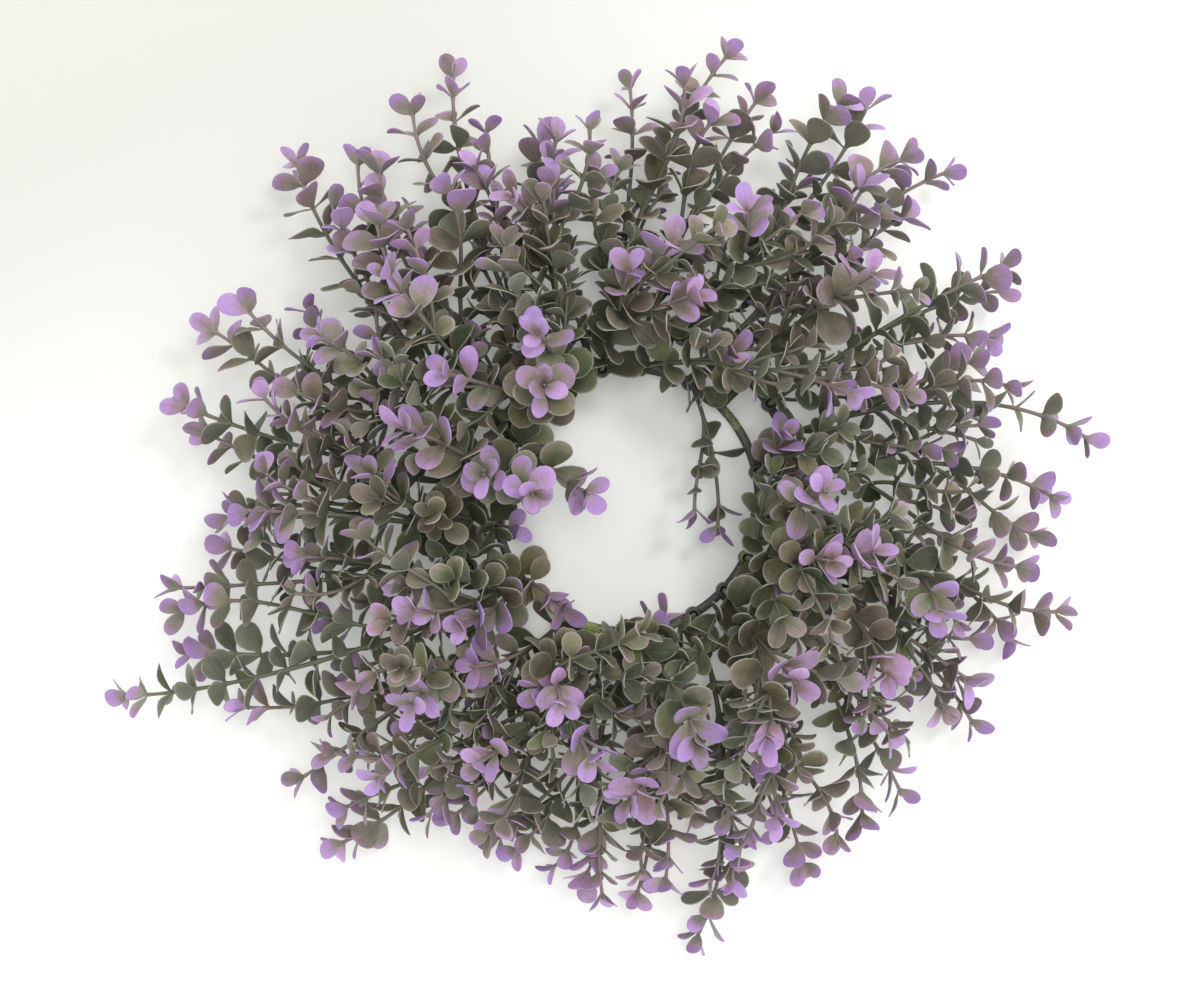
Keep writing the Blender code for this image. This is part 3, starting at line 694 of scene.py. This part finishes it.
# The rest of the leaves: each tries a few turns, tilts and sizes until it is clear
moreLeaves = {
    "bareMain": 11.0,
    "bareFork": 5.0,
    "most": 24,
    "kept": ((112.0, 1.0), (130.0, 0.9)),
    "facing": 0.0,
    "sparseSpray": 38,
    "sparseKept": 0.55,
    "upperFrom": 52.0,
    "upperShare": 1.12,
    "clearance": 0.1,
    "tries": (
        (0, 0, 1.0), (-14, 0, 1.0), (12, 0, 1.0), (0, 14, 0.96), (0, -14, 0.96), (-26, 8, 0.92),
        (20, -8, 0.92), (-10, 22, 0.88), (-10, -22, 0.88), (6, 0, 0.8), (-36, 0, 0.84), (-18, 12, 0.74),
        (14, -12, 0.74), (0, 30, 0.66), (-30, -28, 0.66),
    ),
}


def placeMoreLeaves(sprays, taken, placed):
    # Whorl by whorl from the tips down, on every shoot in turn, with fewer leaves further out and
    # larger ones on the shoots that rise high
    m = moreLeaves
    draw = np.random.default_rng((seed, 6))
    for whorl in range(m["most"]):
        for i, shoots in enumerate(sprays):
            for j, shoot in enumerate(shoots):
                whorls = shoot.whorls(m)
                if whorl >= len(whorls):
                    continue
                at = whorls[whorl]
                kept = np.interp(outFrom(shoot.frameAt(at)[0]), *zip(*m["kept"]))
                if i == m["sparseSpray"]:
                    kept = m["sparseKept"]
                share = m["upperShare"] if shoot.points[-1, 2] > m["upperFrom"] else 1.0
                for leaf in range(whorlSizes["leaves"]):
                    key = (i, j, whorl, leaf)
                    if key not in placed and draw.uniform() <= kept:
                        tryLeaf(shoot, key, at, m, share, taken, placed)


# Meshes

def addObject(name, data):
    # A new object in the scene, at the origin and unturned
    item = bpy.data.objects.new(name, data)
    bpy.context.scene.collection.objects.link(item)
    return item


def toMesh(name, parts, materials, sharpAngle):
    # One mesh of parts, each with its points in millimetres, quads, point attributes and material
    allPoints, allFaces, allAttributes, allMaterials = zip(*parts)
    offsets = np.cumsum([0] + [len(points) for points in allPoints[:-1]])
    world = np.vstack(allPoints) * metres + ringCentre
    faces = np.vstack([faces + offset for faces, offset in zip(allFaces, offsets)])
    faceMaterials = np.repeat(allMaterials, [len(faces) for faces in allFaces])
    mesh = bpy.data.meshes.new(name)
    mesh.vertices.add(len(world))
    mesh.vertices.foreach_set("co", world.astype(np.float32).ravel())
    mesh.loops.add(faces.size)
    mesh.loops.foreach_set("vertex_index", faces.astype(np.int32).ravel())
    mesh.polygons.add(len(faces))
    mesh.polygons.foreach_set("loop_start", np.arange(0, faces.size, 4, dtype=np.int32))
    mesh.polygons.foreach_set("material_index", faceMaterials.astype(np.int32))
    mesh.update(calc_edges=True)
    mesh.validate()
    for key in allAttributes[0]:
        values = np.concatenate([attributes[key] for attributes in allAttributes])
        made = mesh.attributes.new(key, "FLOAT", "POINT")
        made.data.foreach_set("value", values.astype(np.float32))
    for material in materials:
        mesh.materials.append(material)
    mesh.shade_smooth()
    mesh.set_sharp_from_angle(angle=math.radians(sharpAngle))
    return addObject(name, mesh)


def spread(points, **values):
    # Point attributes as flat arrays, with each point's height as a share of the greatest
    values["height"] = points[..., 2] / greatestHeight
    return {key: np.broadcast_to(value, points.shape[:-1]).ravel() for key, value in values.items()}


def gridFaces(rows, columns, closed):
    # Quads between neighbours on a grid of points, joined round the columns where it is closed
    across = columns if closed else columns - 1
    row, column = np.meshgrid(np.arange(rows - 1), np.arange(across), indexing="ij")
    after = (column + 1) % columns
    here, there = row * columns, (row + 1) * columns
    return np.stack((here + column, here + after, there + after, there + column), axis=-1).reshape(-1, 4)


# A finished leaf
leafForm = {
    "stations": (0.03, 0.15, 0.29, 0.45, 0.61, 0.75, 0.87, 0.95, 0.99),
    "across": (-1.0, 0.0, 1.0),
    "blade": 0.1,
    "basePower": 0.75,
    "tipPower": 0.5,
    "halfWidth": 0.40,
    "tipHalfWidth": 0.32,
    "petiole": 0.045,
    "widensOver": 20.0,
    "petioleTo": 0.5,
    "middleThickness": 0.75,
    "tipThinner": 0.35,
    "rimThickness": 0.34,
    "curlDraw": (-0.02, 0.13),
    "cupDraw": (-0.05, 0.04),
    "twistDraw": (-13.0, 13.0),
    "skewDraw": (-0.05, 0.05),
    "widthDraw": (0.84, 1.08),
    "ripple": 0.014,
    "rippleTurns": (9.0, 2.0),
    "tipEdge": (0.9, 0.985),
    "sharpAngle": 55.0,
}


def leafTemplate():
    # Faces of one leaf: the top grid, the underside grid turned over, and the rim between them
    rows, columns = len(leafForm["stations"]), len(leafForm["across"])
    top = gridFaces(rows, columns, False)
    count = rows * columns
    under = top[:, ::-1] + count
    index = np.arange(count).reshape(rows, columns)
    rim = np.concatenate((index[0], index[1:, -1], index[-1, -2::-1], index[-2:0:-1, 0]))
    after = np.roll(rim, -1)
    wall = np.stack((after, rim, rim + count, after + count), axis=-1)
    return np.concatenate((top, under, wall)), 2 * count


def leafPart(leaves, draw):
    # All leaves of a spray. With u along a leaf and v across it, half the width is s^a (1-s)^b over
    # its greatest, the height is cup (side/widest)^2 - curl u^2, and the twist grows with u.
    f = leafForm
    count = len(leaves)

    def perLeaf(values):
        # One value, or one vector, for each leaf
        return np.array(values)[:, None, None]

    def drawn(key):
        # A draw for each leaf
        return perLeaf(draw.uniform(*f[key], count))

    origin, direction, width, normal = (perLeaf([leaf["axes"][i] for leaf in leaves]) for i in range(4))
    keys = ("length", "fromTip", "mist", "hue")
    length, fromTip, mist, hue = (perLeaf([leaf[key] for leaf in leaves]) for key in keys)
    u = np.array(f["stations"])[None, :, None]
    v = np.array(f["across"])
    s = np.clip((u - f["blade"]) / (1 - f["blade"]), 0, 1)
    a, b = f["basePower"], f["tipPower"]
    peak = a / (a + b)
    shape = s**a * (1 - s) ** b / (peak**a * (1 - peak) ** b)
    grown = np.clip(fromTip / f["widensOver"], 0, 1)
    widest = f["tipHalfWidth"] + (f["halfWidth"] - f["tipHalfWidth"]) * grown
    half = np.maximum(widest * drawn("widthDraw") * shape, f["petiole"] * (s < f["petioleTo"]))
    alongTurns, acrossTurns = f["rippleTurns"]
    ripple = f["ripple"] * v**2 * np.sin(alongTurns * u + acrossTurns * v + drawn("twistDraw"))
    side = half * v + drawn("skewDraw") * u**2
    cup = solidLeaf["cup"] + drawn("cupDraw")
    curl = solidLeaf["curl"] + drawn("curlDraw")
    height = cup * (half * v / solidLeaf["widest"]) ** 2 - curl * u**2 + ripple
    twist = np.radians(drawn("twistDraw")) * u
    middle = f["middleThickness"] * (1 - f["tipThinner"] * u)
    thickness = (f["rimThickness"] + (middle - f["rimThickness"]) * (1 - v**2)) / 2
    sideways = side * np.cos(twist) - height * np.sin(twist)
    upwards = side * np.sin(twist) + height * np.cos(twist)
    centre = (
        origin
        + (length * u)[..., None] * direction
        + (length * sideways)[..., None] * width
        + (length * upwards)[..., None] * normal
    )
    lift = thickness[..., None] * normal
    points = np.stack((centre + lift, centre - lift), axis=1)
    first, last = f["tipEdge"]
    edge = np.maximum(np.abs(v), np.clip((u - first) / (last - first), 0, 1))
    chance = perLeaf(draw.uniform(0, 1, count))
    attributes = spread(
        points, along=u, edge=edge[:, None], across=v, nearTip=mist[:, None], chance=chance[:, None],
        hue=hue[:, None], under=np.array((0.0, 1.0))[:, None, None],
    )
    quads, perLeafPoints = leafTemplate()
    faces = quads + perLeafPoints * np.arange(count)[:, None, None]
    return points.reshape(-1, 3), faces.reshape(-1, 4), attributes


# A finished stem
stemForm = {
    "sides": 8,
    "step": 2.6,
    "roundShare": 0.74,
    "knot": 0.24,
    "knotHalf": 1.1,
    "leastStep": 0.3,
    "rootRadius": 0.02,
    "budLength": 1.4,
    "budShares": (0.8, 0.45, 0.024),
}


def stemPart(shoot, whorls):
    # Circles round the route, swollen at each whorl as a bell curve and drawn to a point at the tip
    f = stemForm
    plain = np.arange(0.0, shoot.length, f["step"])
    knots = np.concatenate([np.array(whorls) + f["knotHalf"] * k for k in (-1, 0, 1)])
    at = np.unique(np.clip(np.concatenate((plain, knots, (shoot.length,))), 0, shoot.length))
    at = at[np.append(True, np.diff(at) > f["leastStep"])]
    point, along, side, other = shoot.frameAt(at)
    swell = np.exp(-(((at[:, None] - np.array(whorls)) / f["knotHalf"]) ** 2)).sum(axis=1)
    radius = shoot.radiusAt(at) * f["roundShare"] * (1 + f["knot"] * swell)
    radii = np.concatenate(((f["rootRadius"],), radius, np.array(f["budShares"]) * radius[-1]))
    tip = point[-1] + along[-1] * f["budLength"]
    centres = np.vstack((point[:1], point, (point[-1] + tip) / 2, tip, tip))
    rows = np.concatenate(((0,), np.arange(len(at)), (-1, -1, -1)))
    angles = 2 * np.pi * np.arange(f["sides"]) / f["sides"]
    ring = np.cos(angles)[:, None] * side[rows][:, None] + np.sin(angles)[:, None] * other[rows][:, None]
    points = centres[:, None] + radii[:, None, None] * ring
    mist = tipMist(shoot, np.append(at[rows[:-3]], (shoot.length,) * 3))
    attributes = spread(
        points, along=0, edge=0, across=np.cos(angles), nearTip=mist[:, None], chance=shoot.chance,
        hue=shoot.hue, under=0,
    )
    return points.reshape(-1, 3), gridFaces(len(centres), f["sides"], True), attributes


# Mist by the distance from a shoot's tip, and the share of the hue that its leaves draw
tipLooks = {
    "full": 3.0,
    "gone": 34.0,
    "shareDraw": (0.6, 1.25),
    "hueSpread": 0.75,
}


def tipMist(shoot, at):
    # 1 at the tip, falling smoothly to 0 at the far end of the mist, with a share of its own per shoot
    reach = tipLooks["gone"] * shoot.mistShare
    share = np.clip((shoot.length - at - tipLooks["full"]) / reach, 0, 1)
    return (1 - share * share * (3 - 2 * share)) * shoot.mistMost


def buildSpray(number, shoots, placed, materials):
    # All the stems and leaves of one spray in one mesh
    draw = np.random.default_rng((seed, number, 99))
    for shoot in shoots:
        shoot.mistShare = draw.uniform(*tipLooks["shareDraw"])
        shoot.chance = draw.uniform(0, 1)
        shoot.hue = draw.uniform(0, 1)
    keys = sorted(key for key in placed if key[0] == number)
    parts = []
    for j, shoot in enumerate(shoots):
        whorls = sorted({placed[key][2] for key in keys if key[1] == j})
        parts.append((*stemPart(shoot, whorls), 1))
    leaves = []
    spreadOut = tipLooks["hueSpread"]
    for key in keys:
        axes, length, at = placed[key]
        shoot = shoots[key[1]]
        hue = 0.5 + spreadOut * (shoot.hue - 0.5) + spreadOut * (draw.uniform(0, 1) - 0.5)
        leaf = {"axes": axes, "length": length, "fromTip": shoot.length - at, "hue": np.clip(hue, 0, 1)}
        leaves.append(leaf | {"mist": tipMist(shoot, at)})
    parts.append((*leafPart(leaves, draw), 0))
    piece = toMesh(f"spray_{number + 1:02d}_leaves", parts, materials, leafForm["sharpAngle"])
    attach(piece, "root")
    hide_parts(f"spray_{number + 1:02d}")
    return piece


# The ring in fine form

def turnedShell(profile, centre, steps):
    # A profile of (radius, height) turned about an upright axis
    radius, height = np.array(profile, float).T
    angles = 360 * np.arange(steps) / steps
    points = centre + radius[:, None, None] * turned(angles)[None] + height[:, None, None] * up
    return points.reshape(-1, 3), gridFaces(len(profile), steps, True)


def roundedBox(low, high):
    # Corners of a rectangle as quarter circles, in order round it
    rounding = ringSizes["edgeRound"]
    left, bottom = np.array(low) + rounding
    right, top = np.array(high) - rounding
    arc = rounding * turned(np.linspace(0, 90, ringSizes["arcSteps"] + 1))[:, :2]
    arcs = []
    for corner in ((right, top), (left, top), (left, bottom), (right, bottom)):
        arcs.append(corner + arc)
        arc = np.stack((-arc[:, 1], arc[:, 0]), axis=-1)
    return np.vstack(arcs)


def hoopShell(radius):
    # The rounded section turned round the ring and joined to its own start
    r = ringSizes
    half = r["hoopWidth"] / 2
    section = roundedBox((radius - half, 0.0), (radius + half, r["hoopHeight"]))
    section = np.vstack((section, section[:1]))[::-1]
    return turnedShell(section, np.zeros(3), r["steps"])


def crossbarShell(angle):
    # The rounded section drawn from hoop to hoop, with its ends inside them
    r = ringSizes
    half = r["crossbarWidth"] / 2
    section = roundedBox((-half, r["crossbarLow"]), (half, r["crossbarTop"]))
    out, side = turned(angle), turned(angle + 90)
    middle = np.array((0.0, (r["crossbarLow"] + r["crossbarTop"]) / 2))
    inner, outer = r["radius"]["inner"], r["radius"]["outer"]
    rows = ((inner, 0.0), (inner, 1.0), (outer, 1.0), (outer, 0.0))
    points = []
    for reach, full in rows:
        shape = middle + (section - middle) * full
        points.append(out * reach + shape[:, :1] * side + shape[:, 1:] * up)
    return np.vstack(points), gridFaces(len(rows), len(section), True)


def socketShell(hoop, angle):
    # A cup turned about its own axis: outer wall, rounded rim, hole and floor
    r = ringSizes
    hole = stemSizes["plugRadius"] * stemForm["roundShare"] + r["seatGap"]
    outer, top, floor = r["socketRadius"], r["socketTop"], r["socketFloor"]
    wall = outer - r["socketDraft"]
    profile = (
        (0.0, r["socketBottom"]), (outer, r["socketBottom"]), (outer, r["socketStraight"]),
        *((wall - inwards, top - below) for inwards, below in r["outerRim"]),
        ((wall + hole) / 2, top),
        *((hole + outwards, top - below) for outwards, below in r["innerRim"]),
        (hole, floor), (0.0, floor),
    )
    return turnedShell(profile, turned(angle) * r["radius"][hoop], r["socketSteps"])


def buildRing(material):
    # Hoops, cross-bars at even angles and sockets in one mesh
    r = ringSizes
    shells = [hoopShell(radius) for radius in r["radius"].values()]
    shells += [crossbarShell(360 * (i + 0.5) / r["crossbars"]) for i in range(r["crossbars"])]
    shells += [socketShell(hoop, angle) for hoop, angle, *_ in sprayRows]
    piece = toMesh("wreath_ring", [(*shell, {}, 0) for shell in shells], [material], r["sharpAngle"])
    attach(piece, "root")
    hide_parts("wreath_frame")
    return piece


# Finishes

class Wire:
    # An output socket. Each sum on it adds a Math node.
    def __init__(self, paint, socket):
        self.paint = paint
        self.socket = socket

    def sum(self, operation, first, second):
        # The Math node of that name
        return self.paint.node("ShaderNodeMath", {"operation": operation}, {0: first, 1: second})

    def __add__(self, other):
        return self.sum("ADD", self, other)

    def __sub__(self, other):
        return self.sum("SUBTRACT", self, other)

    def __rsub__(self, other):
        return self.sum("SUBTRACT", other, self)

    def __mul__(self, other):
        return self.sum("MULTIPLY", self, other)

    __radd__ = __add__
    __rmul__ = __mul__


class Paint:
    # The nodes of a material or a world
    def __init__(self, owner, shader="Principled BSDF"):
        self.owner = owner
        owner.use_nodes = True
        self.tree = owner.node_tree
        self.shader = self.tree.nodes[shader]

    def node(self, kind, settings, inputs, output=0):
        # Adds any node and gives one of its outputs. A ramp's stops are its places and colours.
        made = self.tree.nodes.new(kind)
        for key, value in settings.items():
            if key == "stops":
                for place in value[2:]:
                    made.color_ramp.elements.new(place[0])
                for stop, (at, colour) in zip(made.color_ramp.elements, value):
                    stop.position = at
                    stop.color = (*colour, 1)
            else:
                setattr(made, key, value)
        for key, value in inputs.items():
            self.put(made.inputs[key], value)
        return Wire(self, made.outputs[output])

    def put(self, socket, value):
        # A wire is linked and a constant is set
        if isinstance(value, Wire):
            self.tree.links.new(value.socket, socket)
        else:
            socket.default_value = value

    def attribute(self, name):
        # A value that the mesh holds at each point
        return self.node("ShaderNodeAttribute", {"attribute_name": name}, {}, "Fac")

    def noise(self, size, detail=2.0, roughness=0.5):
        # Noise of about this feature size in millimetres, on Object coordinates
        place = self.node("ShaderNodeTexCoord", {}, {}, "Object")
        inputs = {"Vector": place, "Scale": 1 / (size * metres), "Detail": detail, "Roughness": roughness}
        return self.node("ShaderNodeTexNoise", {}, inputs)

    def step(self, value, low, high):
        # 0 below low, 1 above high, and a smooth step between
        inputs = {"Value": value, "From Min": low, "From Max": high}
        return self.node("ShaderNodeMapRange", {"interpolation_type": "SMOOTHSTEP"}, inputs)

    def mix(self, share, first, second):
        # first x (1 - share) + second x share
        first, second = ((*c, 1) if isinstance(c, tuple) else c for c in (first, second))
        return self.node("ShaderNodeMix", {"data_type": "RGBA"}, {0: share, 6: first, 7: second}, 2)

    def shine(self, **sockets):
        # Sets or links the shader's own sockets
        for name, value in sockets.items():
            self.put(self.shader.inputs[name.replace("_", " ")], value)

    def bump(self, height, distance):
        # A height of 1 stands out by the distance in millimetres
        made = self.node("ShaderNodeBump", {}, {"Height": height, "Distance": distance * metres})
        self.put(self.shader.inputs["Normal"], made)


def uneven(base, weights, wires):
    # The base plus each wire's difference from its middle value, 0.5, times its weight
    for weight, wire in zip(weights, wires):
        base = base + weight * (wire - 0.5)
    return base


# Noise sizes and bump depths are in millimetres
leafColours = {
    "stops": (0.0, 0.22, 0.40, 0.56, 0.70, 0.84, 1.0),
    "green": (
        (0.056, 0.074, 0.036), (0.098, 0.115, 0.063), (0.160, 0.166, 0.112), (0.222, 0.184, 0.160),
        (0.276, 0.182, 0.302), (0.284, 0.177, 0.390), (0.304, 0.190, 0.416),
    ),
    "brown": (
        (0.082, 0.066, 0.048), (0.130, 0.101, 0.074), (0.180, 0.130, 0.106), (0.220, 0.150, 0.152),
        (0.290, 0.184, 0.266), (0.330, 0.204, 0.358), (0.362, 0.226, 0.404),
    ),
    "olive": (0.150, 0.146, 0.062),
    "oliveShare": 0.5,
    "olivePatch": (0.48, 0.66),
    "oliveMist": (0.2, 0.6),
    "rim": (0.270, 0.285, 0.218),
    "rimEdge": (0.86, 0.98),
    "rimShares": (0.7, 0.6),  # on plain leaves, and how much less on misted ones
    "rimMist": (0.45, 0.85),
    "under": (0.200, 0.200, 0.176),
    "underShare": 0.36,
    "underMist": (0.3, 0.8),
    "mistFromTip": 0.66,
    "mistAlongLeaf": 0.62,
    "mistUpwards": 0.05,
    "mistAtEdge": 0.16,
    "edgeMiddle": 0.6,
    "mistWeights": (0.45, 0.16, 0.34),  # blotch, speck, chance
    "shadeWeights": (0.3, 0.36, 0.40),  # blotch, speck, chance
    # painted light: leaves low in the foliage are painted lighter and high ones darker, to lift the shade
    # deep down
    "paintedLightLowDown": 0.17,
    "blotchSize": 5.0,
    "speckSize": 0.7,
    "patchSize": 18.0,
    "roughness": 0.52,
    "roughnessWeight": 0.16,
    "specular": 0.35,
    "rib": 0.16,
    "bumpWeights": (0.7, 0.5, 0.6),  # rib, speck, blotch
    "bumpDepth": 0.12,
}


def leafPaint():
    # Mist = nearness to the tip + place along and across the leaf + noise, read by two ramps, one
    # from green and one from brown to lilac. Plain leaves turn olive in patches.
    c = leafColours
    paint = Paint(bpy.data.materials.new("leaf_plastic_misted"))
    names = ("along", "edge", "across", "nearTip", "chance", "hue", "under", "height")
    along, edge, across, nearTip, chance, hue, underside, height = map(paint.attribute, names)
    blotch, speck = paint.noise(c["blotchSize"], 3.0), paint.noise(c["speckSize"])
    wires = (blotch, speck, chance)
    mist = c["mistFromTip"] * nearTip + c["mistAlongLeaf"] * (along - 0.5) + c["mistUpwards"] * height
    mist = uneven(mist + c["mistAtEdge"] * (edge - c["edgeMiddle"]), c["mistWeights"], wires)
    green, brown = (
        paint.node("ShaderNodeValToRGB", {"stops": list(zip(c["stops"], c[key]))}, {0: mist})
        for key in ("green", "brown")
    )
    colour = paint.mix(hue, green, brown)
    patch = paint.step(paint.noise(c["patchSize"], 1.0), *c["olivePatch"])
    olive = c["oliveShare"] * patch * (1 - paint.step(mist, *c["oliveMist"]))
    colour = paint.mix(olive, colour, c["olive"])
    under = underside * c["underShare"] * (1 - paint.step(mist, *c["underMist"]))
    colour = paint.mix(under, colour, c["under"])
    plain, misted = c["rimShares"]
    rim = paint.step(edge, *c["rimEdge"]) * (plain - misted * paint.step(mist, *c["rimMist"]))
    colour = paint.mix(rim, colour, c["rim"])
    # Painted light: the shade factor is random tone, plus leaves painted lighter low down and darker high
    # up to lift the shade deep in the foliage
    shade = uneven(1.0, c["shadeWeights"], wires) - c["paintedLightLowDown"] * (height - 0.5)
    colour = paint.node("ShaderNodeVectorMath", {"operation": "SCALE"}, {0: colour, "Scale": shade})
    roughness = uneven(c["roughness"], (c["roughnessWeight"],), (blotch,))
    paint.shine(Base_Color=colour, Roughness=roughness, Specular_IOR_Level=c["specular"])
    fromRib = paint.node("ShaderNodeMath", {"operation": "ABSOLUTE"}, {0: across})
    ribWeight, speckWeight, blotchWeight = c["bumpWeights"]
    rib = 1 - paint.step(fromRib, 0.0, c["rib"])
    paint.bump(ribWeight * rib + speckWeight * speck + blotchWeight * blotch, c["bumpDepth"])
    return paint.owner


stemColours = {
    "green": (0.086, 0.090, 0.056),
    "brown": (0.140, 0.112, 0.086),
    "mist": (0.200, 0.138, 0.162),
    "brownFrom": (0.05, 0.6),
    "mistFrom": (0.6, 1.15),
    "placeWeight": 0.7,
    "blotchSize": 4.0,
    "speckSize": 0.6,
    "roughness": 0.55,
    "roughnessWeight": 0.2,
    "bumpWeights": (0.7, 0.6),  # speck, blotch
    "bumpDepth": 0.15,
}


def stemPaint():
    # Green low down, brown further up and misted at the tip
    c = stemColours
    paint = Paint(bpy.data.materials.new("stem_plastic_misted"))
    blotch, speck = paint.noise(c["blotchSize"], 3.0), paint.noise(c["speckSize"])
    place = uneven(paint.attribute("nearTip"), (c["placeWeight"],), (blotch,))
    colour = paint.mix(paint.step(place, *c["brownFrom"]), c["green"], c["brown"])
    colour = paint.mix(paint.step(place, *c["mistFrom"]), colour, c["mist"])
    roughness = uneven(c["roughness"], (c["roughnessWeight"],), (blotch,))
    paint.shine(Base_Color=colour, Roughness=roughness)
    paint.bump(c["bumpWeights"][0] * speck + c["bumpWeights"][1] * blotch, c["bumpDepth"])
    return paint.owner


ringColours = {
    "bare": (0.230, 0.285, 0.050),
    "darkened": (0.034, 0.037, 0.025),
    "barePlace": (-0.024, -0.056, 0.002),
    "bareWithin": (0.016, 0.030),
    "bareFrom": (0.68, 0.82),
    "bareWeights": (0.25, 0.3),  # speck, place
    "patchSize": 22.0,
    "speckSize": 0.9,
    "roughness": 0.46,
    "roughnessWeight": 0.25,
    "bumpWeights": (0.6, 0.4),  # speck, patch
    "bumpDepth": 0.1,
}


def ringPaint():
    # Yellow-green plastic, very dark over most of it: bare where noise is high, and near one place at the
    # hole's edge
    c = ringColours
    paint = Paint(bpy.data.materials.new("frame_plastic_darkened"))
    patch, speck = paint.noise(c["patchSize"], 4.0, 0.6), paint.noise(c["speckSize"])
    place = paint.node("ShaderNodeTexCoord", {}, {}, "Object")
    ends = {0: place, 1: c["barePlace"]}
    away = paint.node("ShaderNodeVectorMath", {"operation": "DISTANCE"}, ends, 1)
    speckWeight, placeWeight = c["bareWeights"]
    bare = patch + speckWeight * speck + placeWeight * (1 - paint.step(away, *c["bareWithin"]))
    colour = paint.mix(paint.step(bare, *c["bareFrom"]), c["darkened"], c["bare"])
    paint.shine(Base_Color=colour, Roughness=uneven(c["roughness"], (c["roughnessWeight"],), (patch,)))
    paint.bump(c["bumpWeights"][0] * speck + c["bumpWeights"][1] * patch, c["bumpDepth"])
    return paint.owner


# Table, light and camera
studio = {
    "table": (0.71, 0.71, 0.685),
    "tableShade": (0.472, 0.472, 0.436),
    # the table glows a little: painted light that lifts the shadows under the wreath
    "tableGlow": 0.20,
    "tableRoughness": 0.7,
    "shadeTowards": (-0.5, 0.85, 0.0),
    "shadeFrom": (0.02, 0.23),
    "shadeGone": (0.45, 1.4),
    "tableSize": 6.0,
    "cameraHeight": 0.8,
    "sensorWidth": 36.0,
    "picturePlane": 0.027,
    "pictureWidth": 0.450,
    "pictureCentre": (-0.0105, 0.0026),
    "skyLow": 2.45,
    "skyHigh": 0.52,
    "skyColour": (0.985, 0.99, 1.0),
    "lamps": (((0.72, 0.66, 1.7), 0.36, 10.5), ((0.10, 0.12, 1.5), 0.5, 8.0)),
}


def buildTable():
    # A white square, with a soft painted shade by the distance towards its far left, gone again further
    # off, and a faint glow that is painted light lifting the shadows on it
    half = studio["tableSize"] / 2
    corners = [(x * half, y * half, 0) for x, y in ((-1, -1), (1, -1), (1, 1), (-1, 1))]
    mesh = bpy.data.meshes.new("table_top")
    mesh.from_pydata(corners, [], [(0, 1, 2, 3)])
    table = addObject("table_top", mesh)
    paint = Paint(bpy.data.materials.new("table_white"))
    ends = {0: paint.node("ShaderNodeTexCoord", {}, {}, "Object"), 1: studio["shadeTowards"]}
    towards = paint.node("ShaderNodeVectorMath", {"operation": "DOT_PRODUCT"}, ends, 1)
    shade = paint.step(towards, *studio["shadeFrom"]) * (1 - paint.step(towards, *studio["shadeGone"]))
    colour = paint.mix(shade, studio["table"], studio["tableShade"])
    paint.shine(Base_Color=colour, Roughness=studio["tableRoughness"], Emission_Color=colour)
    paint.shine(Emission_Strength=studio["tableGlow"])
    mesh.materials.append(paint.owner)


def pointAt(item, place, target):
    # Its own -Z looks at the target: the yaw is the direction's in plan, and the pitch is its slope
    item.location = place
    direction = np.array(target) - np.array(place)
    yaw = math.atan2(direction[1], direction[0]) - math.pi / 2
    pitch = math.pi / 2 + math.atan2(direction[2], math.hypot(direction[0], direction[1]))
    item.rotation_euler = (pitch, 0, yaw)


def buildLight():
    # A sky whose strength runs evenly with the upward part of its direction, and two softboxes
    world = bpy.data.worlds.new("studio")
    paint = Paint(world, "Background")
    place = paint.node("ShaderNodeTexCoord", {}, {}, "Generated")
    upwards = paint.node("ShaderNodeSeparateXYZ", {}, {0: place}, "Z")
    inputs = {"Value": upwards, "To Min": studio["skyLow"], "To Max": studio["skyHigh"]}
    strength = paint.node("ShaderNodeMapRange", {}, inputs)
    paint.shine(Color=(*studio["skyColour"], 1), Strength=strength)
    bpy.context.scene.world = world
    for place, size, power in studio["lamps"]:
        lamp = bpy.data.lights.new("softbox", "AREA")
        lamp.size = size
        lamp.energy = power
        pointAt(addObject("softbox", lamp), place, (0, 0, 0))


def buildCamera():
    # Straight down on the middle of the picture; focal length = sensor x distance / picture width
    x, y = np.array(studio["pictureCentre"]) + ringCentre[:2]
    lens = bpy.data.cameras.new("camera")
    lens.sensor_width = studio["sensorWidth"]
    lens.lens = lens.sensor_width * studio["cameraHeight"] / studio["pictureWidth"]
    camera = addObject("camera", lens)
    camera.location = (x, y, studio["picturePlane"] + studio["cameraHeight"])
    bpy.context.scene.camera = camera


buildCamera()
buildLight()
buildTable()
bpy.context.scene.view_settings.view_transform = "Standard"
print("studio ready")

sprays = []
for number, routes in enumerate(allRoutes()):
    outwards = turned(sprayRows[number][1])
    shoots = [Shoot(route, number, j, outwards) for j, route in enumerate(routes)]
    stem = shoots[0]
    stem.forks = [stem.at[forkIndex(stem.points, share)] for *_, share in sprayRows[number][3:]]
    sprays.append(shoots)
print("shoots", sum(map(len, sprays)))

taken = Taken()
placed = placeSolidLeaves(sprays, taken)
print("leaves of the solids", len(placed))
growTwigs(sprays, taken)
print("shoots with twigs", sum(map(len, sprays)))
placeMoreLeaves(sprays, taken, placed)
print("leaves in all", len(placed))

materials = [leafPaint(), stemPaint()]
pieces = [buildRing(ringPaint())]
pieces += [buildSpray(number, shoots, placed, materials) for number, shoots in enumerate(sprays)]
print("pieces", len(pieces), "faces", sum(len(piece.data.polygons) for piece in pieces))
